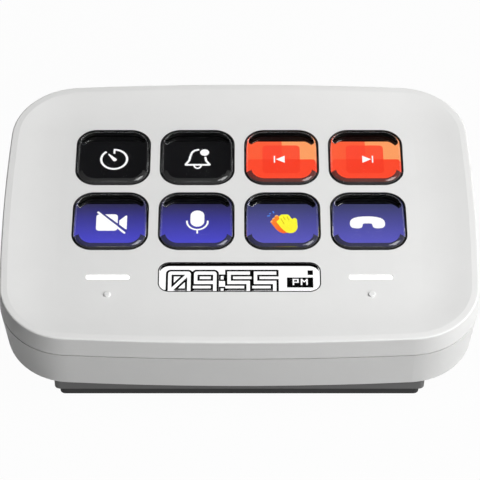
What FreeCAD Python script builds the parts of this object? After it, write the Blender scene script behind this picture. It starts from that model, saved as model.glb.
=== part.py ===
"""A desk macro keypad: eight clear keys over one display, a clock window, two light bars and two touch dots.

Units are millimetres. +Z is up, the user sits at -Y, and the origin is on the desk under the keypad's middle.
The housing is a slab that leans on a wedge. Its pieces are drawn in the slab's own frame: X to the right,
Y up the face, and depth measured straight down from the rim. deck_place() leans that frame back.
"""
import math
import os

import FreeCAD
import Part
import Sketcher
from FreeCAD import Placement, Rotation, Vector

SIZES = {
    "tilt": (4.0, "how far the face leans towards the user, degrees"),
    "front_lift": (5.75, "height of the housing's lower front edge over the desk"),
    "half_width": (53.2, "half the face's width at the rim"),
    "half_depth": (38.65, "half the face's depth at the rim"),
    "front_bow": (683.0, "radius of the bowed front and back edges"),
    "side_bow": (475.0, "radius of the bowed left and right edges"),
    "corner_radius": (15.5, "radius of the housing's corners"),
    "flare": (0.3, "how much wider the housing is at the parting line than at the rim"),
    "bottom_inset": (0.75, "how much narrower the housing is at its underside than at the rim"),
    "slab_depth": (16.7, "thickness of the two housing shells together"),
    "parting_depth": (5.25, "depth of the line where the shells meet"),
    "groove_height": (0.35, "height of the shadow groove at the parting line"),
    "groove_inset": (0.8, "depth of the shadow groove"),
    "wall": (2.4, "thickness of the housing's side walls"),
    "floor_thick": (2.0, "thickness of the housing's floor"),
    "tongue_thick": (1.1, "thickness of the lower shell's locating tongue"),
    "tongue_height": (1.25, "height of the locating tongue"),
    "tongue_gap": (0.08, "clearance round the locating tongue"),
    "rim_land": (1.6, "width of the flat rim"),
    "rim_edge": (0.4, "rounding of the rim's outer edge"),
    "bottom_edge": (0.5, "rounding of the housing's lower edge"),
    "field_depth": (0.95, "how far the flat field lies below the rim"),
    "dish_run": (12.4, "distance from the edge to where the field is flat"),
    "plate_thick": (1.9, "thickness of the face plate at the field"),
    "key_pitch": (19.35, "distance between key centres"),
    "back_row": (16.2, "distance of the back row of keys behind the middle of the face"),
    "key_hole": (17.2, "side of a key's hole in the face"),
    "key_hole_corner": (4.7, "corner radius of a key's hole"),
    "key_gap": (0.35, "gap between a key and its hole"),
    "bezel_wall": (0.2, "thickness of the black ring in a key's hole"),
    "cap_proud": (0.55, "how far a key stands above the field"),
    "cap_edge": (1.3, "rounding of a key's upper edge"),
    "cap_plug_drop": (0.65, "depth of a key's plug inside its carrier"),
    "plug_gap": (0.1, "gap between a key's plug and its carrier"),
    "carrier_hole": (15.5, "side of the window in a key's carrier"),
    "carrier_lip": (0.5, "how far a carrier reaches under the edge of the face plate"),
    "carrier_thick": (0.7, "thickness of a key's carrier"),
    "carrier_stop_gap": (0.15, "gap between a carrier and the face plate at rest"),
    "well_gap": (0.3, "gap between a carrier and its well"),
    "guide_wall": (1.2, "thickness of the key guide's outer wall"),
    "key_travel": (1.0, "how far a key goes down"),
    "collar_spare": (0.2, "height that is left of a pressed spring collar"),
    "collar_gap": (0.05, "gap between a spring collar and its carrier at rest"),
    "collar_wall": (0.8, "thickness of a spring collar's wall"),
    "collar_lean": (0.25, "how much a spring collar leans inwards from foot to top"),
    "board_film": (0.4, "thickness of the key contact board"),
    "board_window": (15.8, "side of a window in the key contact board"),
    "panel_gap": (0.05, "gap between the contact board and the display"),
    "panel_thick": (1.6, "thickness of the display glass"),
    "tray_thick": (2.6, "thickness of the display's backlight tray"),
    "tray_margin": (0.4, "how far the tray stands out past the display"),
    "tray_skin": (0.8, "thickness of the tray's walls and floor"),
    "ear_post_radius": (2.0, "radius of the posts over the tray's screw ears"),
    "ear_thick": (1.2, "thickness of the tray's screw ears"),
    "ear_reach": (3.6, "distance of an ear's screw from the display's edge"),
    "ear_spread": (13.5, "distance of the ears' screws from the display's middle line"),
    "window_width": (36.0, "width of the clock window's opening"),
    "window_height": (8.5, "height of the clock window's opening"),
    "window_corner": (2.6, "corner radius of the clock window's opening"),
    "window_row": (-19.5, "place of the clock window and the light bars up the face"),
    "window_gap": (0.25, "gap round the clock window's lens"),
    "window_bezel": (0.15, "thickness of the black ring in the clock window's opening"),
    "lens_thick": (2.2, "thickness of the clock window's lens"),
    "lens_flange": (1.1, "width of the lens's flange under the face plate"),
    "clock_thick": (2.2, "thickness of the clock display"),
    "clock_width": (37.5, "width of the clock display"),
    "clock_height": (10.0, "height of the clock display"),
    "laying_gap": (0.05, "gap between a lens and what lies under it"),
    "bar_width": (9.8, "width of a light bar's slot"),
    "bar_height": (1.45, "height of a light bar's slot"),
    "bar_gap": (0.1, "gap round a light bar"),
    "bar_recess": (0.2, "how far a light bar lies below the field"),
    "bar_flange": (0.8, "width of a light bar's flange under the face plate"),
    "bar_flange_thick": (0.6, "thickness of a light bar's flange"),
    "led_gap": (0.2, "gap between a light bar and its lamps"),
    "led_width": (2.8, "width of a lamp"),
    "led_height": (1.4, "length of a lamp up the face"),
    "led_thick": (0.7, "thickness of a lamp"),
    "led_spread": (2.3, "distance of a lamp from its bar's middle"),
    "dot_row": (-24.5, "place of the touch dots up the face"),
    "dot_radius": (0.8, "radius of a touch dot"),
    "dot_rise": (0.35, "height of a touch dot above the field"),
    "touch_radius": (3.0, "radius of a touch sensor"),
    "front_board_width": (73.0, "width of the front board"),
    "front_board_gap": (9.75, "gap between the housing's front edge and the front board"),
    "front_board_back": (-15.6, "back edge of the front board up the face"),
    "board_thick": (1.0, "thickness of the front board"),
    "front_screw_x": (21.5, "distance of the front board's screws from the middle"),
    "front_screw_inset": (1.9, "distance of the front board's screws from its front edge"),
    "front_post_radius": (1.7, "radius of the posts over the front board"),
    "main_depth": (10.9, "depth of the main board's upper face"),
    "main_thick": (1.4, "thickness of the main board"),
    "main_side_gap": (12.2, "gap between the housing's sides and the main board"),
    "main_front_gap": (10.65, "gap between the housing's front edge and the main board"),
    "main_back_gap": (13.25, "gap between the housing's back edge and the main board"),
    "tab_width": (46.0, "width of the main board's tab under the cable socket"),
    "tab_gap": (4.15, "gap between the housing's back edge and that tab"),
    "main_screw_side": (3.5, "distance of the main board's screws from its sides"),
    "main_screw_end": (4.2, "distance of the main board's screws from its front and back edges"),
    "main_post_radius": (2.2, "radius of the posts under the main board"),
    "chip_side": (8.0, "side of the processor"),
    "chip_thick": (0.9, "thickness of the processor"),
    "part_thick": (0.8, "thickness of the small parts under the main board"),
    "plug_block": (1.2, "height of a ribbon's connector"),
    "ribbon_thick": (0.15, "thickness of a ribbon"),
    "ribbon_bow": (2.9, "how far a ribbon's loop stands out from what it leaves"),
    "socket_width": (8.94, "width of the cable socket's shell"),
    "socket_height": (3.2, "height of the cable socket's shell"),
    "socket_length": (7.35, "length of the cable socket's shell"),
    "socket_skin": (0.3, "thickness of the cable socket's shell"),
    "socket_recess": (0.15, "how far the cable socket's mouth lies inside the housing's back edge"),
    "socket_gap": (0.25, "gap between the cable socket and the housing"),
    "tongue_width": (6.7, "width of the tongue inside the cable socket"),
    "socket_tongue": (0.7, "thickness of the tongue inside the cable socket"),
    "housing_screw_side": (9.0, "distance of the housing's screws from its sides"),
    "housing_screw_end": (8.6, "distance of the housing's screws from its front and back edges"),
    "upper_boss_radius": (2.5, "radius of the upper shell's screw bosses"),
    "lower_boss_radius": (3.3, "radius of the lower shell's screw bosses"),
    "boss_split_depth": (12.6, "depth where the upper and lower bosses meet"),
    "head_floor_depth": (14.9, "depth of the seat under a housing screw's head"),
    "big_head_radius": (1.9, "radius of the housing screws' heads"),
    "big_head_height": (1.3, "height of the housing screws' heads"),
    "big_shank_radius": (1.0, "radius of the housing screws' threads"),
    "big_shank_length": (7.6, "length of the housing screws' threads"),
    "small_head_radius": (1.5, "radius of the small screws' heads"),
    "small_head_height": (0.9, "height of the small screws' heads"),
    "small_shank_radius": (0.75, "radius of the small screws' threads"),
    "small_shank_length": (2.6, "length of the small screws' threads"),
    "thread_gap": (0.02, "clearance between a screw and the hole that it bites in"),
    "pass_gap": (0.2, "clearance between a screw and a hole that it passes through"),
    "drive_radius": (0.55, "radius of a screw's hexagon socket"),
    "drive_depth": (0.6, "depth of a screw's hexagon socket"),
    "ballast_width": (52.0, "width of the steel weight"),
    "ballast_length": (50.0, "length of the steel weight"),
    "ballast_thick": (1.2, "thickness of the steel weight"),
    "plinth_side": (12.15, "distance of the wedge's sides from the housing's sides"),
    "plinth_front": (2.0, "how far the wedge is set back from the housing's lower front edge"),
    "plinth_back": (5.0, "how far the wedge is set in from the housing's lower back edge"),
    "plinth_wall": (3.0, "thickness of the wedge's walls"),
    "plinth_roof": (1.8, "thickness of the wedge's roof"),
    "plinth_corner": (1.2, "corner radius of the wedge"),
    "plinth_screw_side": (10.5, "distance of the wedge's screws from its sides"),
    "plinth_screw_row": (18.0, "distance of the wedge's screws from the middle line"),
    "plinth_pillar": (2.4, "radius of the floor pillars over the wedge's screws"),
    "pillar_height": (1.7, "height of those pillars over the floor"),
    "plinth_shank": (4.6, "length of the wedge's screw threads"),
    "pad_thick": (2.8, "thickness of the rubber pad on the desk"),
    "pad_margin": (1.1, "how far the pad is set in from the wedge's sides and back"),
    "pad_front": (0.7, "how far the pad is set back from the wedge's front"),
    "pad_edge": (0.4, "bevel of the pad's lower edge"),
    "fine_edge": (0.2, "rounding or bevel of small edges"),
    "board_corner": (0.8, "corner radius of the boards"),
    "hole_spare": (0.3, "how much deeper a screw's hole is than the screw"),
    "ear_strap": (4.8, "width of the straps that carry the tray's screw ears"),
    "sheet_gap": (0.1, "gap round the backlight sheets"),
    "small_chip_width": (5.0, "width of the small chips under the main board"),
    "small_chip_height": (4.0, "length of the small chips up the face"),
    "speck_width": (1.6, "width of the smallest parts on the board"),
    "speck_height": (0.9, "length of the smallest parts up the face"),
    "connector_width": (12.0, "width of a front ribbon's connector"),
    "rear_connector_width": (10.0, "width of a rear ribbon's connector"),
    "connector_height": (2.4, "length of a ribbon's connector up the face"),
    "connector_inset": (1.8, "distance of a connector's middle from its board's edge"),
    "ribbon_spread": (16.0, "distance of the rear ribbons from the middle"),
    "rear_ribbon_width": (8.0, "width of the rear ribbons"),
    "front_ribbon_width": (10.0, "width of the front ribbon"),
}

KEY_COLUMNS = 4
KEY_ROWS = 2
# The dish between the rim and the flat field: shares of its run, and of its depth there
DISH_STEPS = ((0.2, 0.32), (0.4, 0.62), (0.7, 0.9))
LEAST_CHANGE = 1e-6
NEAR = 1e-3
# Nearly half: a slot's corner radius as a share of its height, so that short straight ends are left
SLOT_CORNER = 0.499
BAR_CORNER = 0.46
# Places of the small chips, and the first place of each row of the smallest parts, on the main board
SMALL_CHIPS = ((-18.0, -12.0), (-6.0, -12.0), (12.0, -10.0), (-14.0, 8.0), (6.0, 10.0))
SPECK_ROWS = ((-30.0, 1.0), (16.0, 2.0))
SPECK_STEP = 4.0
SPECKS_IN_ROW = 4

doc = FreeCAD.newDocument("macro_keypad")
sheet = doc.addObject("Spreadsheet::Sheet", "Sizes")


class Size:
    """A length that knows its value and the sheet expression that it comes from."""

    def __init__(self, value, text):
        self.value = value
        self.text = text

    def combine(self, other, sign, result):
        text = other.text if isinstance(other, Size) else repr(other)
        return Size(result, f"({self.text} {sign} {text})")

    def __add__(self, other):
        return self.combine(other, "+", self.value + number(other))

    def __sub__(self, other):
        return self.combine(other, "-", self.value - number(other))

    def __mul__(self, other):
        return self.combine(other, "*", self.value * number(other))

    def __truediv__(self, other):
        return self.combine(other, "/", self.value / number(other))

    def __neg__(self):
        return Size(-self.value, f"(0 - {self.text})")

    def __float__(self):
        return float(self.value)


def number(size):
    return size.value if isinstance(size, Size) else float(size)


def fill_sheet():
    """Writes one row for each size and returns the sizes by name."""
    sizes = {}
    for row, (alias, (value, meaning)) in enumerate(SIZES.items(), 1):
        sheet.set(f"A{row}", meaning)
        sheet.set(f"B{row}", str(value))
        sheet.setAlias(f"B{row}", alias)
        sizes[alias] = Size(value, f"Sizes.{alias}")
    doc.recompute()
    return sizes


def bind(item, prop, size):
    """Ties a property to the sheet; a plain number is just set."""
    if isinstance(size, Size):
        item.setExpression(prop, size.text)


S = fill_sheet()
lean_sin = Size(math.sin(math.radians(S["tilt"].value)), "sin(Sizes.tilt * 1deg)")
lean_cos = Size(math.cos(math.radians(S["tilt"].value)), "cos(Sizes.tilt * 1deg)")

# Depths below the rim, in the slab's frame
plate_under = S["field_depth"] + S["plate_thick"]
lower_top = S["parting_depth"] + S["groove_height"]
floor_top = S["slab_depth"] - S["floor_thick"]
cap_top = S["field_depth"] - S["cap_proud"]
carrier_top = plate_under + S["carrier_stop_gap"]
carrier_under = carrier_top + S["carrier_thick"]
collar_top = carrier_under + S["collar_gap"]
film_top = carrier_under + S["key_travel"] + S["collar_spare"]
film_under = film_top + S["board_film"]
panel_top = film_under + S["panel_gap"]
panel_under = panel_top + S["panel_thick"]
tray_under = panel_under + S["tray_thick"]
ear_under = panel_under + S["ear_thick"]
lens_under = S["field_depth"] + S["lens_thick"]
clock_top = lens_under + S["laying_gap"]
clock_under = clock_top + S["clock_thick"]
front_board_under = clock_under + S["board_thick"]
led_top = clock_under - S["led_thick"]
main_under = S["main_depth"] + S["main_thick"]
socket_depth = S["main_depth"] - S["socket_height"] / 2

# Places across the face
row_middle = S["back_row"] - S["key_pitch"] / 2
outer_column = S["key_pitch"] * 1.5
cap_side = S["key_hole"] - S["key_gap"] * 2
cap_corner = S["key_hole_corner"] - S["key_gap"]
carrier_side = S["key_hole"] + S["carrier_lip"] * 2
carrier_corner = S["key_hole_corner"] + S["carrier_lip"]
window_corner_radius = S["carrier_hole"] / 2 - cap_side / 2 + cap_corner
well_side = carrier_side + S["well_gap"] * 2
well_corner = carrier_corner + S["well_gap"]
stack_width = S["key_pitch"] * (KEY_COLUMNS - 1) + well_side + S["guide_wall"] * 2
stack_height = S["key_pitch"] * (KEY_ROWS - 1) + well_side + S["guide_wall"] * 2
tray_width = stack_width + S["tray_margin"] * 2
tray_height = stack_height + S["tray_margin"] * 2
front_board_front = S["front_board_gap"] - S["half_depth"]
front_board_row = (front_board_front + S["front_board_back"]) / 2
front_board_height = S["front_board_back"] - front_board_front
main_width = (S["half_width"] - S["main_side_gap"]) * 2
main_front = S["main_front_gap"] - S["half_depth"]
main_back = S["half_depth"] - S["main_back_gap"]
tab_back = S["half_depth"] - S["tab_gap"]
socket_mouth = S["half_depth"] - S["socket_recess"]
plinth_width = (S["half_width"] - S["plinth_side"]) * 2

# Where the slab's frame stands
half_bottom = S["half_depth"] - S["bottom_inset"]
deck_y = -(S["flare"] * lean_cos + S["parting_depth"] * lean_sin) / 2
deck_z = S["front_lift"] + half_bottom * lean_sin + S["slab_depth"] * lean_cos
lower_front_y = deck_y - half_bottom * lean_cos + S["slab_depth"] * lean_sin
lower_back_y = deck_y + half_bottom * lean_cos + S["slab_depth"] * lean_sin
plinth_front_y = lower_front_y + S["plinth_front"]
plinth_back_y = lower_back_y - S["plinth_back"]

key_rows = [
    [
        (S["key_pitch"] * (column - (KEY_COLUMNS - 1) / 2), S["back_row"] - S["key_pitch"] * row)
        for column in range(KEY_COLUMNS)
    ]
    for row in range(KEY_ROWS)
]
parts = []


def place(item, x, y, z, angle=None):
    """Puts an item at a point, and leans it about the X axis if an angle is given."""
    tilt = number(angle) if angle else 0.0
    spot = Vector(number(x), number(y), number(z))
    item.Placement = Placement(spot, Rotation(Vector(1, 0, 0), tilt))
    for axis, size in zip("xyz", (x, y, z)):
        bind(item, f"Placement.Base.{axis}", size)
    if angle:
        item.setExpression("Placement.Rotation.Angle", f"{angle.text} * 1deg")


def deck_place(item, x=0.0, y=None):
    """Leans an item with the face, its own origin at a point of the rim's plane."""
    if y is None:
        place(item, x, deck_y, deck_z, S["tilt"])
        return
    place(item, x, deck_y + y * lean_cos, deck_z + y * lean_sin, S["tilt"])


def keep(item, label):
    """Marks an item as a finished sub-part that has a file of its own."""
    item.Label = label
    parts.append((label, item))
    return item


class Outline:
    """Draws closed outlines in one sketch, each dimension tied to the sheet."""

    PLANES = {"face": "XY_Plane", "side": "YZ_Plane", "front": "XZ_Plane"}

    def __init__(self, body, offset, plane="face"):
        self.sketch = body.newObject("Sketcher::SketchObject", body.Name + "_outline")
        role = self.PLANES[plane]
        origin = [f for f in body.Origin.OriginFeatures if f.Role == role][0]
        self.sketch.AttachmentSupport = [(origin, "")]
        self.sketch.MapMode = "FlatFace"
        self.sketch.AttachmentOffset = Placement(Vector(0, 0, number(offset)), Rotation())
        bind(self.sketch, "AttachmentOffset.Base.z", offset)
        self.shapes = []
        self.rules = []
        self.sizes = {}

    def limit(self, kind, *where, size):
        """A dimension whose value follows the sheet."""
        self.sizes[len(self.rules)] = size
        self.rules.append(Sketcher.Constraint(kind, *where, size.value))

    def tie(self, kind, *where):
        self.rules.append(Sketcher.Constraint(kind, *where))

    def draw(self, shape):
        self.shapes.append(shape)
        return len(self.shapes) - 1

    def close(self):
        """Puts the collected shapes and rules into the sketch, and ties the dimensions."""
        self.sketch.addGeometry(self.shapes)
        self.sketch.addConstraint(self.rules)
        for index, size in self.sizes.items():
            if "Sizes." in size.text:
                self.sketch.setExpression(f"Constraints[{index}]", size.text)
        return self.sketch

    def circle(self, x, y, radius):
        shape = Part.Circle(Vector(number(x), number(y), 0), Vector(0, 0, 1), number(radius))
        index = self.draw(shape)
        self.limit("Radius", index, size=as_size(radius))
        self.limit("DistanceX", -1, 1, index, 3, size=as_size(x))
        self.limit("DistanceY", -1, 1, index, 3, size=as_size(y))
        return self

    def arc(self, x, y, radius, start, end):
        circle = Part.Circle(Vector(x, y, 0), Vector(0, 0, 1), radius)
        return self.draw(Part.ArcOfCircle(circle, start, end))

    def line(self, x0, y0, x1, y1):
        return self.draw(Part.LineSegment(Vector(x0, y0, 0), Vector(x1, y1, 0)))

    def rectangle(self, x, y, width, height, corner=None):
        """A rectangle round a middle point, with round corners if a radius is given."""
        x, y, width, height = (as_size(v) for v in (x, y, width, height))
        left, right = x - width / 2, x + width / 2
        low, high = y - height / 2, y + height / 2
        x0, x1, y0, y1 = left.value, right.value, low.value, high.value
        if corner is None:
            return self.polygon([(left, low), (right, low), (right, high), (left, high)])
        corner = as_size(corner)
        r = corner.value
        sides = [
            self.line(x0 + r, y0, x1 - r, y0),
            self.line(x1, y0 + r, x1, y1 - r),
            self.line(x1 - r, y1, x0 + r, y1),
            self.line(x0, y1 - r, x0, y0 + r),
        ]
        centres = [(x1 - r, y0 + r), (x1 - r, y1 - r), (x0 + r, y1 - r), (x0 + r, y0 + r)]
        arcs = [
            self.arc(cx, cy, r, math.pi / 2 * (k - 1), math.pi / 2 * k)
            for k, (cx, cy) in enumerate(centres)
        ]
        for k in range(4):
            self.tie("Tangent", sides[k], 2, arcs[k], 1)
            self.tie("Tangent", arcs[k], 2, sides[(k + 1) % 4], 1)
            self.tie("Vertical" if k % 2 else "Horizontal", sides[k])
        for other in arcs[1:]:
            self.tie("Equal", arcs[0], other)
        self.limit("Radius", arcs[0], size=corner)
        self.limit("DistanceY", -1, 1, sides[0], 1, size=low)
        self.limit("DistanceY", -1, 1, sides[2], 1, size=high)
        self.limit("DistanceX", -1, 1, sides[1], 1, size=right)
        self.limit("DistanceX", -1, 1, sides[3], 1, size=left)
        return self

    def polygon(self, points):
        """A closed outline of straight lines through points that are each held in place."""
        points = [(as_size(x), as_size(y)) for x, y in points]
        ahead = points[1:] + points[:1]
        lines = [
            self.line(x0.value, y0.value, x1.value, y1.value)
            for (x0, y0), (x1, y1) in zip(points, ahead)
        ]
        for k, (x, y) in enumerate(points):
            self.tie("Coincident", lines[k - 1], 2, lines[k], 1)
            self.limit("DistanceX", -1, 1, lines[k], 1, size=x)
            self.limit("DistanceY", -1, 1, lines[k], 1, size=y)
        return self

    def shell(self, inset):
        """The housing's bowed outline, eight tangent arcs, drawn in by an inset all round."""
        inset = as_size(inset)
        bow_y = S["front_bow"] - S["half_depth"]
        bow_x = S["side_bow"] - S["half_width"]
        reach_y = (S["front_bow"] - S["corner_radius"]).value
        reach_x = (S["side_bow"] - S["corner_radius"]).value
        front, side = (0.0, -bow_y.value), (-bow_x.value, 0.0)
        cx, cy = meeting_point(front, reach_y, side, reach_x)
        rise = math.atan2(cy - front[1], cx - front[0])
        turn = math.atan2(cy - side[1], cx - side[0])
        r_front = (S["front_bow"] - inset).value
        r_side = (S["side_bow"] - inset).value
        r_corner = (S["corner_radius"] - inset).value
        quarter, half = math.pi / 2, math.pi
        arcs = [
            self.arc(side[0], 0, r_side, -turn, turn),
            self.arc(cx, cy, r_corner, turn, rise),
            self.arc(0, front[1], r_front, rise, half - rise),
            self.arc(-cx, cy, r_corner, half - rise, half - turn),
            self.arc(-side[0], 0, r_side, half - turn, half + turn),
            self.arc(-cx, -cy, r_corner, half + turn, half + rise),
            self.arc(0, -front[1], r_front, half + rise, 4 * quarter - rise),
            self.arc(cx, -cy, r_corner, 4 * quarter - rise, 4 * quarter - turn),
        ]
        for k in range(8):
            self.tie("Tangent", arcs[k], 2, arcs[(k + 1) % 8], 1)
        self.tie("Equal", arcs[0], arcs[4])
        self.tie("Equal", arcs[2], arcs[6])
        for k in (3, 5, 7):
            self.tie("Equal", arcs[1], arcs[k])
        self.limit("Radius", arcs[0], size=S["side_bow"] - inset)
        self.limit("Radius", arcs[2], size=S["front_bow"] - inset)
        self.limit("Radius", arcs[1], size=S["corner_radius"] - inset)
        for k, axis in ((0, -1), (4, -1), (2, -2), (6, -2)):
            self.tie("PointOnObject", arcs[k], 3, axis)
        self.limit("DistanceX", -1, 1, arcs[0], 3, size=-bow_x)
        self.limit("DistanceX", -1, 1, arcs[4], 3, size=bow_x)
        self.limit("DistanceY", -1, 1, arcs[2], 3, size=-bow_y)
        self.limit("DistanceY", -1, 1, arcs[6], 3, size=bow_y)
        return self


def as_size(value):
    return value if isinstance(value, Size) else Size(float(value), repr(float(value)))


def meeting_point(a, reach_a, b, reach_b):
    """The upper right point at given distances from two points: a corner arc's centre."""
    dx, dy = b[0] - a[0], b[1] - a[1]
    gap = math.hypot(dx, dy)
    along = (reach_a**2 - reach_b**2 + gap**2) / (2 * gap)
    aside = math.sqrt(reach_a**2 - along**2)
    foot = (a[0] + along * dx / gap, a[1] + along * dy / gap)
    found = [(foot[0] - s * aside * dy / gap, foot[1] + s * aside * dx / gap) for s in (1, -1)]
    return max(found, key=sum)


class Body:
    """A sub-part built from outlines that are padded and pocketed between two depths."""

    def __init__(self, label, several=False):
        self.body = doc.addObject("PartDesign::Body", label)
        self.body.AllowCompound = several
        keep(self.body, label)

    def outline(self, depth, plane="face"):
        return Outline(self.body, -as_size(depth), plane)

    def feature(self, kind, sketch):
        made = self.body.newObject("PartDesign::" + kind, f"{self.body.Name}_{kind.lower()}")
        made.Profile = (sketch, [""])
        sketch.Visibility = False
        return made

    def finish(self, made, *sketches):
        """Works a feature out and makes sure that it changed the solid."""
        before = self.volume if hasattr(self, "volume") else 0.0
        for item in (*sketches, made):
            item.recompute()
        if made.Shape.isNull() or not made.Shape.isValid():
            raise RuntimeError(f"{made.Name} has no valid shape")
        self.volume = made.Shape.Volume
        if abs(self.volume - before) < LEAST_CHANGE:
            raise RuntimeError(f"{made.Name} changes nothing")
        self.last = made
        return self

    def add(self, top, bottom, draw):
        """Adds material between two depths. draw draws the outline."""
        sketch = draw(self.outline(bottom)).close()
        pad = self.feature("Pad", sketch)
        height = as_size(bottom) - as_size(top)
        pad.Length = height.value
        bind(pad, "Length", height)
        return self.finish(pad, sketch)

    def cut(self, top, bottom, draw):
        """Takes material away between two depths."""
        sketch = draw(self.outline(top)).close()
        pocket = self.feature("Pocket", sketch)
        depth = as_size(bottom) - as_size(top)
        pocket.Length = depth.value
        bind(pocket, "Length", depth)
        return self.finish(pocket, sketch)

    def across(self, kind, plane, middle, length, draw):
        """Adds (Pad) or cuts (Pocket) evenly to both sides of a plane across X or Y."""
        sketch = draw(Outline(self.body, as_size(middle), plane)).close()
        made = self.feature(kind, sketch)
        made.SideType = "Symmetric"
        made.Length = number(length)
        bind(made, "Length", length)
        return self.finish(made, sketch)

    def loft(self, kind, ruled, sections):
        """Joins outlines at several depths, each given as (depth, draw)."""
        sketches = [draw(self.outline(depth)).close() for depth, draw in sections]
        made = self.feature(kind, sketches[0])
        made.Sections = [(s, [""]) for s in sketches[1:]]
        made.Ruled = ruled
        for sketch in sketches:
            sketch.Visibility = False
        return self.finish(made, *sketches)

    def round(self, radius, chosen, kind="Fillet"):
        """Rounds or bevels the edges that chosen(edge) picks."""
        base = self.last
        names = [f"Edge{k}" for k, edge in enumerate(base.Shape.Edges, 1) if chosen(edge)]
        made = self.body.newObject("PartDesign::" + kind, f"{self.body.Name}_{kind.lower()}")
        made.Base = (base, names)
        prop = "Radius" if kind == "Fillet" else "Size"
        setattr(made, prop, number(radius))
        bind(made, prop, radius)
        return self.finish(made)

    def lean(self, x=0.0, y=None):
        deck_place(self.body, x, y)
        return self


def at_depth(depth, *tests):
    """Picks edges that lie flat at a depth and pass the other tests."""
    level = -number(depth)

    def chosen(edge):
        flat = all(abs(v.Z - level) < NEAR for v in edge.Vertexes)
        return flat and all(test(edge) for test in tests)

    return chosen


def upright(edge):
    """Picks straight edges that run along the depth, within a few degrees."""
    box = edge.BoundBox
    return len(edge.Vertexes) == 2 and box.ZLength > 4 * max(box.XLength, box.YLength)


def corners(x, front, back):
    """The four places at both sides of the middle, in a front and a back row."""
    return [(side, row) for row in (front, back) for side in (-x, x)]


def circles(places, radius):
    def draw(outline):
        for x, y in places:
            outline.circle(x, y, radius)
        return outline

    return draw


def rectangles(places, width, height, corner=None):
    def draw(outline):
        for x, y in places:
            outline.rectangle(x, y, width, height, corner)
        return outline

    return draw


def shell_outline(inset):
    return lambda outline: outline.shell(inset)


screw_row = S["half_depth"] - S["housing_screw_end"]
housing_screws_at = corners(S["half_width"] - S["housing_screw_side"], -screw_row, screw_row)
main_screws_at = corners(
    main_width / 2 - S["main_screw_side"], main_front + S["main_screw_end"], main_back - S["main_screw_end"])
plinth_screws_at = corners(
    plinth_width / 2 - S["plinth_screw_side"], -S["plinth_screw_row"], S["plinth_screw_row"])
ear_x = stack_width / 2 + S["ear_reach"]
ears_at = corners(ear_x, row_middle - S["ear_spread"], row_middle + S["ear_spread"])
front_screw_row = front_board_front + S["front_screw_inset"]
front_screws_at = [(side, front_screw_row) for side in (-S["front_screw_x"], S["front_screw_x"])]
bars_at = [(side, S["window_row"]) for side in (-outer_column, outer_column)]
dots_at = [(side, S["dot_row"]) for side in (-outer_column, outer_column)]
window_at = [(0.0, S["window_row"])]
pilot_small = S["small_shank_radius"] + S["thread_gap"]
pilot_big = S["big_shank_radius"] + S["thread_gap"]


def make_upper_shell():
    """The top housing: a dished face with its openings, and posts and bosses under it."""
    shell = Body("upper_shell")
    shell.loft("AdditiveLoft", True, [
        (0.0, shell_outline(0.0)),
        (S["parting_depth"], shell_outline(-S["flare"])),
    ])
    dish = [(0.0, shell_outline(S["rim_land"]))]
    run = S["dish_run"] - S["rim_land"]
    for along, down in DISH_STEPS:
        dish.append((S["field_depth"] * down, shell_outline(S["rim_land"] + run * along)))
    dish.append((S["field_depth"], shell_outline(S["dish_run"])))
    shell.loft("SubtractiveLoft", False, dish)
    rebate_top = S["parting_depth"] - S["tongue_height"] - S["tongue_gap"]
    rebate = S["wall"] - S["tongue_thick"] - S["tongue_gap"]
    shell.cut(plate_under, S["parting_depth"], shell_outline(S["wall"]))
    shell.cut(rebate_top, S["parting_depth"], shell_outline(rebate))
    shell.add(S["field_depth"] - S["dot_rise"], plate_under, circles(dots_at, S["dot_radius"]))
    shell.round(S["dot_rise"] * 0.8, at_depth(S["field_depth"] - S["dot_rise"]))
    for row in key_rows:
        shell.cut(0.0, plate_under, rectangles(row, S["key_hole"], S["key_hole"], S["key_hole_corner"]))
    window = rectangles(window_at, S["window_width"], S["window_height"], S["window_corner"])
    shell.cut(0.0, plate_under, window)
    slots = rectangles(bars_at, S["bar_width"], S["bar_height"], S["bar_height"] * BAR_CORNER)
    shell.cut(0.0, plate_under, slots)
    shell.add(plate_under, S["boss_split_depth"], circles(housing_screws_at, S["upper_boss_radius"]))
    shell.add(plate_under, panel_under, circles(ears_at, S["ear_post_radius"]))
    shell.add(plate_under, clock_under, circles(front_screws_at, S["front_post_radius"]))
    big_hole_top = S["head_floor_depth"] - S["big_shank_length"] - S["hole_spare"]
    shell.cut(big_hole_top, S["boss_split_depth"], circles(housing_screws_at, pilot_big))
    small_hole_top = ear_under - S["small_shank_length"] - S["hole_spare"]
    shell.cut(small_hole_top, panel_under, circles(ears_at, pilot_small))
    front_hole_top = front_board_under - S["small_shank_length"] - S["hole_spare"]
    shell.cut(front_hole_top, clock_under, circles(front_screws_at, pilot_small))
    reach = S["half_depth"].value - S["rim_land"].value / 2
    shell.round(S["rim_edge"], at_depth(0.0, lambda e: outer_edge(e, reach)))
    shell.lean()


def outer_edge(edge, reach):
    """Passes edges of the housing's own outline: some point of them lies outside the rim's middle."""
    middle = edge.valueAt((edge.FirstParameter + edge.LastParameter) / 2)
    corner = math.hypot(S["half_width"].value, S["half_depth"].value)
    wide = abs(middle.x) > S["half_width"].value - S["rim_land"].value / 2
    far = math.hypot(middle.x, middle.y) > corner - S["corner_radius"].value * 0.5
    return abs(middle.y) > reach or wide or far


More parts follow.
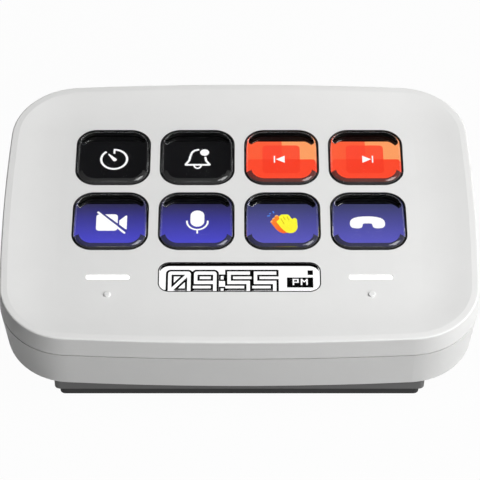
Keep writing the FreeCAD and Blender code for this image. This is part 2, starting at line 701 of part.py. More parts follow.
def make_lower_shell():
    """The bottom housing: tapered walls, a locating tongue, posts, bosses and the cable opening."""
    shell = Body("lower_shell")
    shell.loft("AdditiveLoft", True, [
        (lower_top, shell_outline(-S["flare"])),
        (S["slab_depth"], shell_outline(S["bottom_inset"])),
    ])
    shell.round(S["bottom_edge"], at_depth(S["slab_depth"]))
    shell.add(S["parting_depth"], lower_top, shell_outline(S["groove_inset"]))
    tongue_top = S["parting_depth"] - S["tongue_height"]
    tongue_inset = S["wall"] - S["tongue_thick"]
    shell.add(tongue_top, S["parting_depth"], shell_outline(tongue_inset))
    shell.cut(tongue_top, floor_top, shell_outline(S["wall"]))
    shell.add(S["boss_split_depth"], floor_top, circles(housing_screws_at, S["lower_boss_radius"]))
    shell.add(main_under, floor_top, circles(main_screws_at, S["main_post_radius"]))
    shell.add(floor_top - S["pillar_height"], floor_top, circles(plinth_screws_at, S["plinth_pillar"]))
    head_hole = S["big_head_radius"] + S["pass_gap"]
    shell.cut(S["head_floor_depth"], S["slab_depth"], circles(housing_screws_at, head_hole))
    passage = S["big_shank_radius"] + S["pass_gap"]
    shell.cut(S["boss_split_depth"], S["slab_depth"], circles(housing_screws_at, passage))
    board_hole_end = S["main_depth"] + S["small_shank_length"] + S["hole_spare"]
    shell.cut(main_under, board_hole_end, circles(main_screws_at, pilot_small))
    pillar_hole = floor_top - S["pillar_height"] + S["hole_spare"]
    shell.cut(pillar_hole, S["slab_depth"], circles(plinth_screws_at, pilot_big))
    width = S["socket_width"] + S["socket_gap"] * 2
    height = S["socket_height"] + S["socket_gap"] * 2
    opening = rectangles([(0.0, -socket_depth)], width, height, height * SLOT_CORNER)
    shell.across("Pocket", "front", -S["half_depth"], S["wall"] * 4, opening)
    shell.lean()


def make_bezels():
    """The black rings that line the key holes and the clock window's opening."""
    bezels = Body("key_bezels", several=True)
    side, corner = S["key_hole"], S["key_hole_corner"]
    bore = side - S["bezel_wall"] * 2
    for row in key_rows:
        bezels.add(S["field_depth"], plate_under, rectangles(row, side, side, corner))
    for row in key_rows:
        bezels.cut(S["field_depth"], plate_under, rectangles(row, bore, bore, corner - S["bezel_wall"]))
    bezels.lean()
    ring = Body("window_bezel")
    width, height, skin = S["window_width"], S["window_height"], S["window_bezel"]
    ring.add(S["field_depth"], plate_under, rectangles(window_at, width, height, S["window_corner"]))
    bore = rectangles(window_at, width - skin * 2, height - skin * 2, S["window_corner"] - skin)
    ring.cut(S["field_depth"], plate_under, bore)
    ring.lean()


def make_key_guide():
    """A black frame with one well for each key, which also stops stray light."""
    guide = Body("key_guide")
    outer = rectangles([(0.0, row_middle)], stack_width, stack_height, well_corner + S["guide_wall"])
    guide.add(plate_under, film_top, outer)
    for row in key_rows:
        guide.cut(plate_under, film_top, rectangles(row, well_side, well_side, well_corner))
    guide.lean()


def make_contact_board():
    """A thin board with a window under each key; the spring collars close contacts on it."""
    board = Body("contact_board")
    outline = rectangles([(0.0, row_middle)], stack_width, stack_height, S["guide_wall"])
    board.add(film_top, film_under, outline)
    side = S["board_window"]
    for row in key_rows:
        board.cut(film_top, film_under, rectangles(row, side, side, window_corner_radius))
    board.lean()


def make_display():
    """The display glass under all the keys, and the backlight tray that holds it up."""
    panel = Body("display_panel")
    outline = rectangles([(0.0, row_middle)], stack_width, stack_height, S["guide_wall"])
    panel.add(panel_top, panel_under, outline)
    panel.round(S["fine_edge"], at_depth(panel_under), kind="Chamfer")
    panel.lean()
    tray = Body("backlight_tray")
    outline = rectangles([(0.0, row_middle)], tray_width, tray_height, S["guide_wall"])
    tray.add(panel_under, tray_under, outline)
    ear_rows = [(0.0, row) for _, row in ears_at[::2]]
    strap = S["ear_strap"]
    tray.add(panel_under, ear_under, rectangles(ear_rows, ear_x * 2 + strap, strap, S["ear_post_radius"]))
    hollow_w = tray_width - S["tray_skin"] * 2
    hollow_h = tray_height - S["tray_skin"] * 2
    hollow = rectangles([(0.0, row_middle)], hollow_w, hollow_h, S["tray_skin"])
    tray.cut(panel_under, tray_under - S["tray_skin"], hollow)
    tray.cut(panel_under, ear_under, circles(ears_at, S["small_shank_radius"] + S["pass_gap"]))
    tray.lean()
    sheet_stack = Body("backlight_sheets")
    gap = S["sheet_gap"]
    inner = rectangles([(0.0, row_middle)], hollow_w - gap * 2, hollow_h - gap * 2, S["tray_skin"])
    sheet_stack.add(panel_under + gap, tray_under - S["tray_skin"] - S["laying_gap"], inner)
    sheet_stack.lean()


def make_clock_window():
    """The clear lens in the face, and the small clock display behind it."""
    gap = S["window_gap"] * 2
    width, height = S["window_width"] - gap, S["window_height"] - gap
    corner = S["window_corner"] - S["window_gap"]
    lens = Body("clock_lens")
    lens.add(S["field_depth"], lens_under, rectangles(window_at, width, height, corner))
    flange_w = S["window_width"] + S["lens_flange"] * 2
    flange_h = S["window_height"] + S["lens_flange"] * 2
    flange = rectangles(window_at, flange_w, flange_h, S["window_corner"])
    lens.add(plate_under, lens_under, flange)
    lens.round(S["fine_edge"], at_depth(S["field_depth"]))
    lens.lean()
    clock = Body("clock_display")
    outline = rectangles(window_at, S["clock_width"], S["clock_height"], S["board_corner"])
    clock.add(clock_top, clock_under, outline)
    clock.lean()


def make_light_bars():
    """Two light bars, with the lamps under them."""
    gap = S["bar_gap"] * 2
    top = S["field_depth"] + S["bar_recess"]
    under = led_top - S["led_gap"]
    for label, spot in zip(("light_bar_left", "light_bar_right"), bars_at):
        bar = Body(label)
        width, height = S["bar_width"] - gap, S["bar_height"] - gap
        bar.add(top, under, rectangles([spot], width, height, height * BAR_CORNER))
        flange_w = S["bar_width"] + S["bar_flange"] * 2
        flange_h = S["bar_height"] + S["bar_flange"] * 2
        flange = rectangles([spot], flange_w, flange_h, S["bar_flange"])
        bar.add(plate_under, plate_under + S["bar_flange_thick"], flange)
        bar.round(S["fine_edge"], at_depth(top))
        bar.lean()
    lamps = Body("bar_lamps", several=True)
    spots = [(x + S["led_spread"] * side, y) for x, y in bars_at for side in (-1, 1)]
    lamps.add(led_top, clock_under, rectangles(spots, S["led_width"], S["led_height"], S["fine_edge"]))
    lamps.lean()


def make_touch_sensors():
    """A sensor under each touch dot, from the front board up to the face plate."""
    for label, spot in zip(("touch_sensor_left", "touch_sensor_right"), dots_at):
        sensor = Body(label)
        sensor.add(plate_under + S["laying_gap"], clock_under, circles([spot], S["touch_radius"]))
        sensor.lean()


def make_boards():
    """The front board, the main board and what is soldered to them."""
    front = Body("front_board")
    middle = [(0.0, front_board_row)]
    corner = S["board_corner"]
    outline = rectangles(middle, S["front_board_width"], front_board_height, corner)
    front.add(clock_under, front_board_under, outline)
    hole = S["small_shank_radius"] + S["pass_gap"]
    front.cut(clock_under, front_board_under, circles(front_screws_at, hole))
    front.lean()

    main = Body("main_board")
    row = (main_front + main_back) / 2
    length = main_back - main_front
    main.add(S["main_depth"], main_under, rectangles([(0.0, row)], main_width, length, corner))
    root = main_back - corner * 2
    tab = rectangles([(0.0, (root + tab_back) / 2)], S["tab_width"], tab_back - root, corner)
    main.add(S["main_depth"], main_under, tab)
    main.cut(S["main_depth"], main_under, circles(main_screws_at, hole))
    main.lean()

    chip = Body("processor")
    chip.add(S["main_depth"] - S["chip_thick"], S["main_depth"],
             rectangles([(0.0, 0.0)], S["chip_side"], S["chip_side"], S["fine_edge"]))
    chip.round(S["fine_edge"], at_depth(S["main_depth"] - S["chip_thick"]), kind="Chamfer")
    chip.lean()

    small = Body("board_parts", several=True)
    chips = rectangles(SMALL_CHIPS, S["small_chip_width"], S["small_chip_height"], S["fine_edge"])
    small.add(main_under, main_under + S["part_thick"], chips)
    for start, row in SPECK_ROWS:
        specks = [(start + SPECK_STEP * k, row) for k in range(SPECKS_IN_ROW)]
        outline = rectangles(specks, S["speck_width"], S["speck_height"])
        small.add(main_under, main_under + S["part_thick"] / 2, outline)
    small.lean()


def make_ribbons():
    """Three flat ribbons, and the connectors that they end at."""
    block, deep = S["plug_block"], S["connector_height"]
    board_top = S["main_depth"]
    level = board_top - block / 2
    spread = S["ribbon_spread"]
    main_row = main_back - S["connector_inset"]
    front_row = main_front + S["connector_inset"]
    under_row = front_board_front + S["connector_inset"]
    pair = [(-spread, main_row), (spread, main_row)]
    rear = rectangles(pair, S["rear_connector_width"], deep, S["fine_edge"])
    front = rectangles([(0.0, front_row)], S["connector_width"], deep, S["fine_edge"])
    under = rectangles([(0.0, under_row)], S["connector_width"], deep, S["fine_edge"])
    blocks = Body("ribbon_connectors", several=True)
    blocks.add(board_top - block, board_top, rear)
    blocks.add(board_top - block, board_top, front)
    blocks.add(front_board_under, front_board_under + block, under)
    blocks.lean()

    stack_back = row_middle + stack_height / 2
    rear_end, front_end, under_end = main_row + deep / 2, front_row - deep / 2, under_row - deep / 2
    film_level = (film_top + film_under) / 2
    panel_level = (panel_top + panel_under) / 2
    top_level = front_board_under + block / 2
    rear_width = S["rear_ribbon_width"]
    runs = [
        ("display_ribbon", -spread, rear_width, stack_back, panel_level, rear_end, 1),
        ("key_ribbon", spread, rear_width, stack_back, film_level, rear_end, 1),
        ("front_ribbon", 0.0, S["front_ribbon_width"], under_end, top_level, front_end, -1),
    ]
    for label, x, width, start, top, end, way in runs:
        ribbon = Body(label)
        loop = ribbon_profile(start, top, end, level, way)
        ribbon.across("Pad", "side", x, width, lambda outline, loop=loop: outline.polygon(loop))
        bow = start + S["ribbon_bow"] * way
        ribbon.round(S["ribbon_thick"] * 3.0, fold_at(bow - S["ribbon_thick"] * way))
        ribbon.round(S["ribbon_thick"] * 4.0, fold_at(bow))
        ribbon.lean()


def ribbon_profile(start, top, end, level, way):
    """The side view of a ribbon that leaves at one depth, turns and comes back at another."""
    half = S["ribbon_thick"] / 2
    bow = start + S["ribbon_bow"] * way
    inner = bow - S["ribbon_thick"] * way
    return [
        (start, -(top - half)), (bow, -(top - half)), (bow, -(level + half)), (end, -(level + half)),
        (end, -(level - half)), (inner, -(level - half)), (inner, -(top + half)), (start, -(top + half)),
    ]


def fold_at(y):
    """Picks the fold lines of a ribbon at a place up the face."""
    def chosen(edge):
        box = edge.BoundBox
        level = box.YLength + box.ZLength < NEAR and box.XLength > NEAR
        return level and abs(box.Center.y - y.value) < NEAR

    return chosen


def make_socket():
    """The cable socket at the back: a thin steel shell round a tongue."""
    middle = socket_mouth - S["socket_length"] / 2
    spot = [(0.0, -socket_depth)]
    shell = Body("cable_socket")
    width, height, skin = S["socket_width"], S["socket_height"], S["socket_skin"] * 2
    shell.across("Pad", "front", -middle, S["socket_length"],
                 rectangles(spot, width, height, height * SLOT_CORNER))
    bore = rectangles(spot, width - skin, height - skin, (height - skin) * SLOT_CORNER)
    shell.across("Pocket", "front", -middle - S["socket_skin"] * 2, S["socket_length"], bore)
    shell.lean()
    tongue = Body("socket_tongue")
    length = S["socket_length"] - S["socket_skin"] * 5
    inner_end = socket_mouth - S["socket_length"] + S["socket_skin"] * 2
    tongue.across("Pad", "front", -(inner_end + length / 2), length,
                  rectangles(spot, S["tongue_width"], S["socket_tongue"], S["fine_edge"]))
    tongue.lean()


def make_ballast():
    """A steel weight on the housing's floor."""
    weight = Body("steel_weight")
    weight.add(floor_top - S["ballast_thick"], floor_top,
               rectangles([(0.0, 0.0)], S["ballast_width"], S["ballast_length"], S["plinth_corner"]))
    weight.lean()


def make_plinth():
    """The wedge that the housing leans on, hollow from below, drawn as a side view."""
    def face_point(y, z):
        """A point given in the desk's frame, as the side view's coordinates."""
        rise, back = as_size(z) - deck_z, y - deck_y
        return back * lean_cos + rise * lean_sin, rise * lean_cos - back * lean_sin

    def under_housing(y, drop):
        """The point straight over a place on the desk, at a depth below the housing."""
        level = (S["slab_depth"] + drop) * -1.0
        along = (y - deck_y - (S["slab_depth"] + drop) * lean_sin) / lean_cos
        return along, level

    wall = S["plinth_wall"]
    outer = [
        under_housing(plinth_front_y, as_size(0.0)), face_point(plinth_front_y, S["pad_thick"]),
        face_point(plinth_back_y, S["pad_thick"]), under_housing(plinth_back_y, as_size(0.0)),
    ]
    front, back = plinth_front_y + wall, plinth_back_y - wall
    inner = [
        under_housing(front, S["plinth_roof"]), face_point(front, S["pad_thick"]),
        face_point(back, S["pad_thick"]), under_housing(back, S["plinth_roof"]),
    ]
    wedge = Body("wedge_plinth")
    wedge.across("Pad", "side", 0.0, plinth_width, lambda outline: outline.polygon(outer))
    wedge.round(S["plinth_corner"], upright)
    width = plinth_width - wall * 2
    wedge.across("Pocket", "side", 0.0, width, lambda outline: outline.polygon(inner))
    hole = S["big_shank_radius"] + S["pass_gap"]
    wedge.cut(S["slab_depth"], S["slab_depth"] + S["plinth_roof"], circles(plinth_screws_at, hole))
    wedge.lean()

    pad = Body("foot_pad")
    pad_width = plinth_width - S["pad_margin"] * 2
    pad_front_y = plinth_front_y + S["pad_front"]
    pad_back_y = plinth_back_y - S["pad_margin"]
    pad_row = (pad_back_y + pad_front_y) / 2
    corner = S["plinth_corner"]
    pad.add(-S["pad_thick"], 0.0, rectangles([(0.0, pad_row)], pad_width, pad_back_y - pad_front_y, corner))
    pad.round(S["pad_edge"], at_depth(0.0), kind="Chamfer")


def make_key(number_of_key, x, y):
    """One key: its clear cap, the black carrier under it and the spring collar that lifts it."""
    here = [(0.0, 0.0)]
    cap = Body(f"keycap_{number_of_key}")
    cap.add(cap_top, carrier_top, rectangles(here, cap_side, cap_side, cap_corner))
    cap.round(S["cap_edge"], at_depth(cap_top))
    plug = S["carrier_hole"] - S["plug_gap"] * 2
    plug_corner = window_corner_radius - S["plug_gap"]
    cap.add(carrier_top, carrier_top + S["cap_plug_drop"], rectangles(here, plug, plug, plug_corner))
    cap.lean(x, y)

    carrier = Body(f"key_carrier_{number_of_key}")
    carrier.add(carrier_top, carrier_under, rectangles(here, carrier_side, carrier_side, carrier_corner))
    window = rectangles(here, S["carrier_hole"], S["carrier_hole"], window_corner_radius)
    carrier.cut(carrier_top, carrier_under, window)
    carrier.lean(x, y)

    collar = Body(f"spring_collar_{number_of_key}")
    lean, wall = S["collar_lean"] * 2, S["collar_wall"] * 2
    foot, foot_corner = carrier_side, carrier_corner
    top, top_corner = foot - lean, foot_corner - S["collar_lean"]
    collar.loft("AdditiveLoft", True, [
        (collar_top, rectangles(here, top, top, top_corner)),
        (film_top, rectangles(here, foot, foot, foot_corner)),
    ])
    top_in, foot_in = top - wall, foot - wall
    collar.loft("SubtractiveLoft", True, [
        (collar_top, rectangles(here, top_in, top_in, top_corner - S["collar_wall"])),
        (film_top, rectangles(here, foot_in, foot_in, foot_corner - S["collar_wall"])),
    ])
    collar.lean(x, y)


def cylinder(name, x, y, radius, top, bottom):
    """A plain cylinder between two depths."""
    made = doc.addObject("Part::Cylinder", name)
    height = as_size(bottom) - as_size(top)
    made.Radius, made.Height = number(radius), height.value
    bind(made, "Radius", radius)
    bind(made, "Height", height)
    place(made, x, y, -as_size(bottom))
    return made


def screws(label, places, seat, way, head_radius, head_height, shank_radius, shank_length):
    """A set of like screws. Their heads seat at a depth, and way is 1 for heads below the seat."""
    solids, sockets = [], []
    for k, (x, y) in enumerate(places, 1):
        head_end = seat + head_height * way
        shank_end = seat - shank_length * way
        head = (seat, head_end) if way > 0 else (head_end, seat)
        shank = (shank_end, seat) if way > 0 else (seat, shank_end)
        solids.append(cylinder(f"{label}_head_{k}", x, y, head_radius, *head))
        solids.append(cylinder(f"{label}_shank_{k}", x, y, shank_radius, *shank))
        prism = doc.addObject("Part::Prism", f"{label}_drive_{k}")
        prism.Polygon = 6
        prism.Circumradius, prism.Height = S["drive_radius"].value, S["drive_depth"].value
        bind(prism, "Circumradius", S["drive_radius"])
        bind(prism, "Height", S["drive_depth"])
        place(prism, x, y, -head_end if way > 0 else -head_end - S["drive_depth"])
        sockets.append(prism)
    whole = doc.addObject("Part::MultiFuse", label + "_blanks")
    whole.Shapes = solids
    drives = doc.addObject("Part::MultiFuse", label + "_drives")
    drives.Shapes = sockets
    made = doc.addObject("Part::Cut", label)
    made.Base, made.Tool = whole, drives
    deck_place(made)
    keep(made, label)


def make_screws():
    """Every set of screws in the keypad."""
    big = (S["big_head_radius"], S["big_head_height"], S["big_shank_radius"])
    small = (S["small_head_radius"], S["small_head_height"], S["small_shank_radius"], S["small_shank_length"])
    screws("housing_screws", housing_screws_at, S["head_floor_depth"], 1, *big, S["big_shank_length"])
    screws("plinth_screws", plinth_screws_at, S["slab_depth"] + S["plinth_roof"], 1, *big, S["plinth_shank"])
    screws("display_screws", ears_at, ear_under, 1, *small)
    screws("front_board_screws", front_screws_at, front_board_under, 1, *small)
    screws("main_board_screws", main_screws_at, S["main_depth"], -1, *small)


def check_and_save():
    """Stops on any failed feature or broken solid, then writes one file for each sub-part."""
    doc.recompute()
    for item in doc.Objects:
        if "Invalid" in item.State or "Error" in item.State:
            raise RuntimeError(f"{item.Label} failed: {item.State}")
    os.makedirs("parts", exist_ok=True)
    for label, item in parts:
        shape = item.Shape
        if shape.isNull() or not shape.isValid() or not shape.Solids:
            raise RuntimeError(f"{label} has no valid solid")
        shape.exportStep(os.path.join("parts", label + ".step"))
        box = shape.BoundBox
        low = f"{box.XMin:.2f} {box.YMin:.2f} {box.ZMin:.2f}"
        high = f"{box.XMax:.2f} {box.YMax:.2f} {box.ZMax:.2f}"
        print(f"{label}: {len(shape.Solids)} solids, {shape.Volume:.1f} mm3, {low} to {high}")


for make in (
    make_upper_shell, make_lower_shell, make_bezels, make_key_guide, make_contact_board, make_display,
    make_clock_window, make_light_bars, make_touch_sensors, make_boards, make_ribbons, make_socket,
    make_ballast, make_plinth, make_screws,
):
    make()
for index, (key_x, key_y) in enumerate([spot for row in key_rows for spot in row], 1):
    make_key(index, key_x, key_y)
check_and_save()
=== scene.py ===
"""Finishes for a desk macro keypad: clear keys over small pictures, a clock, light bars and touch dots.

Lengths are metres. The face's own frame has X to the right, Y up the face and Z out of it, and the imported
model leans it back. Places on the face are written in millimetres and turned to metres where they are used.
"""

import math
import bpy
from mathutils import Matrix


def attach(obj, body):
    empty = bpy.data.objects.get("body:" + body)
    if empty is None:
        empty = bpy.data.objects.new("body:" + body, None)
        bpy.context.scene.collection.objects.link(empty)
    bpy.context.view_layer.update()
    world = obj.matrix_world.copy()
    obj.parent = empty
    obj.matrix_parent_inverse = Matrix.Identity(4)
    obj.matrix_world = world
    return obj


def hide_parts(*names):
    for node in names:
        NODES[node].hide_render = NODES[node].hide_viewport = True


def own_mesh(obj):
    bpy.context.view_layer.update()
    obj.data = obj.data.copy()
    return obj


bl_info = {
    "name": "Macro Keypad Finishes",
    "version": (1, 0, 0),
    "blender": (4, 5, 0),
    "location": "3D View > Sidebar > Keypad",
    "description": "Dresses a desk macro keypad with pictures, a clock, finishes and a studio",
    "category": "Object",
}

import bmesh
import bpy
from mathutils import Matrix, Vector

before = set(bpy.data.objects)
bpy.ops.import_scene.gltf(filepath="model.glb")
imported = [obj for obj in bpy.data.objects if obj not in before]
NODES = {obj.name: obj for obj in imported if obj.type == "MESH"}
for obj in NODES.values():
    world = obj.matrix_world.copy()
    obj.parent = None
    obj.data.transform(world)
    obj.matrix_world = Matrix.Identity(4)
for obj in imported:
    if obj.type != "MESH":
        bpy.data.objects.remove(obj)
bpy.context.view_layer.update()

MM = 0.001

# The face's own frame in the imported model: how far it leans back, and its middle at the height of its rim
TILT = math.radians(4.0)
FACE_ORIGIN = Vector((0.0, -0.3328, 25.053)) * MM
FACE = Matrix.Translation(FACE_ORIGIN) @ Matrix.Rotation(TILT, 4, "X")

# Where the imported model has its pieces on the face, in millimetres
KEY_PITCH = 19.35
BACK_ROW = 16.2
PICTURE_DEPTH = 5.35
CLOCK_DEPTH = 3.2
COLLAR_FOOT_DEPTH = 4.9
COLLAR_SIDE = 18.2
COLLAR_CORNER = 5.2

# How the pictures and the clock are drawn, in millimetres
PICTURE_CORNER = 3.2
# SHEEN_DROP: how much lower the grey band of painted reflection under each picture reaches
SHEEN_DROP = 0.85
ORANGE_SPLIT = 0.17
SQUARE_REACH = 4.33
SQUARE_CORNER = 0.9
CLOCK_CROSSBAR = -20.0
CLOCK_CORNER = 1.15
COLON_DOTS = (-19.6, -23.1)

# The spacing of the display's rows, in metres
DISPLAY_ROW = 0.00012

# How a clear piece's faces are told apart, by parts of their normals in the face's own frame
UPRIGHT_RISE = 0.03
FLAT_RISE = 0.998
USER_SIDE = -0.15

# The share of plain white in the floor for camera, glossy and transmission rays
FLOOR_WHITE = 0.97

# The photograph's camera: its angle down, its distance, the place on the face that it looks at, and its lens
CAMERA_DOWN = math.radians(45.57)
CAMERA_AWAY = 0.5384
CAMERA_AIM = (0.0, -9.61)
CAMERA_LENS = 181.16
CAMERA_SHIFT = 0.00125


def linear(code):
    """The linear colour of a web colour code, with an alpha of 1."""
    parts = [int(code[k : k + 2], 16) / 255.0 for k in (1, 3, 5)]
    return tuple(p / 12.92 if p <= 0.04045 else ((p + 0.055) / 1.055) ** 2.4 for p in parts) + (1.0,)


def colour(name, description, code):
    """A colour setting with its default."""
    return bpy.props.FloatVectorProperty(
        name=name, description=description, default=linear(code), subtype="COLOR", size=4, min=0.0, max=1.0,
    )


def length(name, description, millimetres):
    """A length setting with its default."""
    return bpy.props.FloatProperty(
        name=name, description=description, default=millimetres * MM, unit="LENGTH", subtype="DISTANCE",
        precision=5,
    )


class KeypadSizes(bpy.types.PropertyGroup):
    """Sizes of what is printed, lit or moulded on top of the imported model."""

    tile_side: length("Picture width", "Width of the lit picture under each key", 15.8)
    tile_top: length("Picture top", "How far a lit picture reaches up from its key's middle", 7.6)
    tile_foot: length("Picture foot", "How far a lit picture reaches down from its key's middle", 6.4)
    picture_centre: length("Picture centre", "How far up from its key's middle a sign is drawn", 2.05)
    ink_rise: length("Ink step", "Height of one layer of a picture above the next", 0.01)
    line_width: length("Line width", "Width of the lines in the white pictures", 0.52)
    digit_stroke: length("Digit stroke", "Width of a clock digit's upright stroke", 0.77)
    digit_outline: length("Digit outline", "Width of the black line round a clock digit", 0.5)
    collar_left: bpy.props.FloatProperty(
        name="Collar left", description="Share of a collar's height that a pressed key leaves", default=0.17,
        min=0.05, max=1.0,
    )


class KeypadColours(bpy.types.PropertyGroup):
    """Colours of the housing, the pictures and the lights."""

    housing: colour("Housing", "Matte plastic of the two shells", "#e2e2e1")
    # The wedge's grey is partly its own plastic and partly painted shade under the housing's overhang
    wedge: colour("Wedge", "Matte plastic of the wedge under the housing", "#6e6e6e")
    # The pad's dark grey is partly the rubber's own colour and partly painted shade under the wedge
    rubber: colour("Rubber", "Pad on the desk", "#3a3a3a")
    black: colour("Black plastic", "Rings, carriers, guide, backlight tray and socket tongue", "#101010")
    orange: colour("Orange", "Lower half of the orange pictures", "#fe4b2e")
    orange_left: colour("Orange left", "Upper left quarter of the orange pictures", "#fe5f3a")
    orange_right: colour("Orange right", "Upper right quarter of the orange pictures", "#fea064")
    violet_top: colour("Violet top", "Upper edge of the left violet pictures", "#302e56")
    violet_foot: colour("Violet foot", "Lower edge of the left violet pictures", "#4c4ac8")
    # The right violet pictures are lighter and greyer than the left ones: painted reflection of the light
    # from the right
    reflecting_violet_top: colour("Reflecting violet top", "Upper edge of the right violet pictures", "#3e406a")
    reflecting_violet_foot: colour("Reflecting violet foot", "Lower edge of the right violet pictures", "#5c5abe")
    board: colour("Circuit board", "Solder mask of the boards", "#12402a")


def sizes():
    return bpy.context.scene.keypad_sizes


def colours():
    return bpy.context.scene.keypad_colours


def on_face(u, v, depth):
    """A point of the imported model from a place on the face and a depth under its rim, in millimetres."""
    return FACE @ (Vector((u, v, -depth)) * MM)


def key_place(number):
    """Where a key's middle is on the face, in millimetres. Keys 1 to 4 are the back row from the left."""
    row, column = divmod(number - 1, 4)
    return KEY_PITCH * (column - 1.5), BACK_ROW - KEY_PITCH * row


# Node groups that more than one material uses


def new_group(name, inputs, outputs):
    """An empty shader node group with named sockets, and its input and output nodes."""
    tree = bpy.data.node_groups.new(name, "ShaderNodeTree")
    for label, kind, value in inputs:
        tree.interface.new_socket(name=label, in_out="INPUT", socket_type=kind).default_value = value
    for label, kind in outputs:
        tree.interface.new_socket(name=label, in_out="OUTPUT", socket_type=kind)
    return tree, tree.nodes.new("NodeGroupInput"), tree.nodes.new("NodeGroupOutput")


def feed(tree, socket, value):
    """Links a socket to another, or sets its number or colour."""
    if hasattr(value, "is_output"):
        tree.links.new(value, socket)
    else:
        socket.default_value = value


def node(tree, kind, settings=None, **values):
    """A new node with its settings, and with its inputs set by name."""
    made = tree.nodes.new(kind)
    for key, value in (settings or {}).items():
        setattr(made, key, value)
    for key, value in values.items():
        made.inputs[key.replace("_", " ")].default_value = value
    return made


def mapped(tree, source, low, high, into_low, into_high):
    """A value carried from one range to another, kept inside it."""
    made = node(tree, "ShaderNodeMapRange", {"clamp": True})
    for index, value in enumerate((source, low, high, into_low, into_high)):
        feed(tree, made.inputs[index], value)
    return made.outputs[0]


def sums(tree, operation, first, second):
    """A math node over two values, each a number or a socket."""
    made = node(tree, "ShaderNodeMath", {"operation": operation})
    feed(tree, made.inputs[0], first)
    feed(tree, made.inputs[1], second)
    return made.outputs[0]


def mixed(tree, factor, first, second):
    """One colour blended into another by a factor."""
    made = node(tree, "ShaderNodeMix", {"data_type": "RGBA"})
    for index, value in ((0, factor), (6, first), (7, second)):
        feed(tree, made.inputs[index], value)
    return made.outputs[2]


def scaled(tree, tint, value):
    """A colour made darker or lighter by a value."""
    made = node(tree, "ShaderNodeVectorMath", {"operation": "SCALE"})
    feed(tree, made.inputs[0], tint)
    feed(tree, made.inputs["Scale"], value)
    return made.outputs[0]


def noise(tree, scale, detail):
    """Noise in the piece's own coordinates. Scale is a number or a socket, in cells for each metre."""
    place = node(tree, "ShaderNodeTexCoord")
    made = node(tree, "ShaderNodeTexNoise", Detail=detail, Roughness=0.5)
    tree.links.new(place.outputs["Object"], made.inputs["Vector"])
    feed(tree, made.inputs["Scale"], scale)
    return made.outputs[0]


def build_grain_group():
    """Grain of a moulded or stamped surface: a roughness that varies a little, and a height for a bump."""
    tree, given, result = new_group(
        "Surface Grain",
        (
            ("Scale", "NodeSocketFloat", 6000.0),
            ("Roughness", "NodeSocketFloat", 0.5),
            ("Spread", "NodeSocketFloat", 0.1),
        ),
        (("Roughness", "NodeSocketFloat"), ("Height", "NodeSocketFloat")),
    )
    fine = noise(tree, given.outputs["Scale"], 3.0)
    wide = noise(tree, sums(tree, "MULTIPLY", given.outputs["Scale"], 0.02), 2.0)
    low = sums(tree, "SUBTRACT", given.outputs["Roughness"], given.outputs["Spread"])
    high = sums(tree, "ADD", given.outputs["Roughness"], given.outputs["Spread"])
    both = sums(tree, "MULTIPLY", sums(tree, "ADD", fine, wide), 0.5)
    tree.links.new(mapped(tree, both, 0.3, 0.7, low, high), result.inputs["Roughness"])
    tree.links.new(fine, result.inputs["Height"])
    return tree


def build_tone_group():
    """A colour with the faint cloudy unevenness of pigment in moulded plastic."""
    tree, given, result = new_group(
        "Pigment Tone",
        (
            ("Colour", "NodeSocketColor", (0.8, 0.8, 0.8, 1.0)),
            ("Amount", "NodeSocketFloat", 0.04),
            ("Scale", "NodeSocketFloat", 60.0),
        ),
        (("Colour", "NodeSocketColor"),),
    )
    cloud = noise(tree, given.outputs["Scale"], 4.0)
    darker = sums(tree, "SUBTRACT", 1.0, given.outputs["Amount"])
    value = mapped(tree, cloud, 0.3, 0.7, darker, 1.0)
    tree.links.new(scaled(tree, given.outputs["Colour"], value), result.inputs["Colour"])
    return tree


def build_fade_group():
    """A colour that runs from one to another up a picture, with the fine rows of a display."""
    tree, given, result = new_group(
        "Picture Fade",
        (
            ("Top", "NodeSocketColor", (1.0, 1.0, 1.0, 1.0)),
            ("Foot", "NodeSocketColor", (0.0, 0.0, 0.0, 1.0)),
            ("Top Place", "NodeSocketFloat", 0.0073),
            ("Foot Place", "NodeSocketFloat", -0.0036),
            ("Row Depth", "NodeSocketFloat", 0.03),
        ),
        (("Colour", "NodeSocketColor"),),
    )
    place = node(tree, "ShaderNodeTexCoord")
    split = node(tree, "ShaderNodeSeparateXYZ")
    tree.links.new(place.outputs["Object"], split.inputs[0])
    up = split.outputs["Y"]
    factor = mapped(tree, up, given.outputs["Foot Place"], given.outputs["Top Place"], 0.0, 1.0)
    blend = mixed(tree, factor, given.outputs["Foot"], given.outputs["Top"])
    rows = sums(tree, "SINE", sums(tree, "MULTIPLY", up, 2.0 * math.pi / DISPLAY_ROW), 0.0)
    dimmer = sums(tree, "SUBTRACT", 1.0, given.outputs["Row Depth"])
    value = mapped(tree, rows, -1.0, 1.0, dimmer, 1.0)
    tree.links.new(scaled(tree, blend, value), result.inputs["Colour"])
    return tree


BUILDERS = {
    "Surface Grain": build_grain_group,
    "Pigment Tone": build_tone_group,
    "Picture Fade": build_fade_group,
}


def placed_group(tree, name, **values):
    """A shared group placed in a material with its own values. The group is built at its first use."""
    group = bpy.data.node_groups.get(name) or BUILDERS[name]()
    made = tree.nodes.new("ShaderNodeGroup")
    made.node_tree = group
    for key, value in values.items():
        made.inputs[key.replace("_", " ")].default_value = value
    return made


# Materials


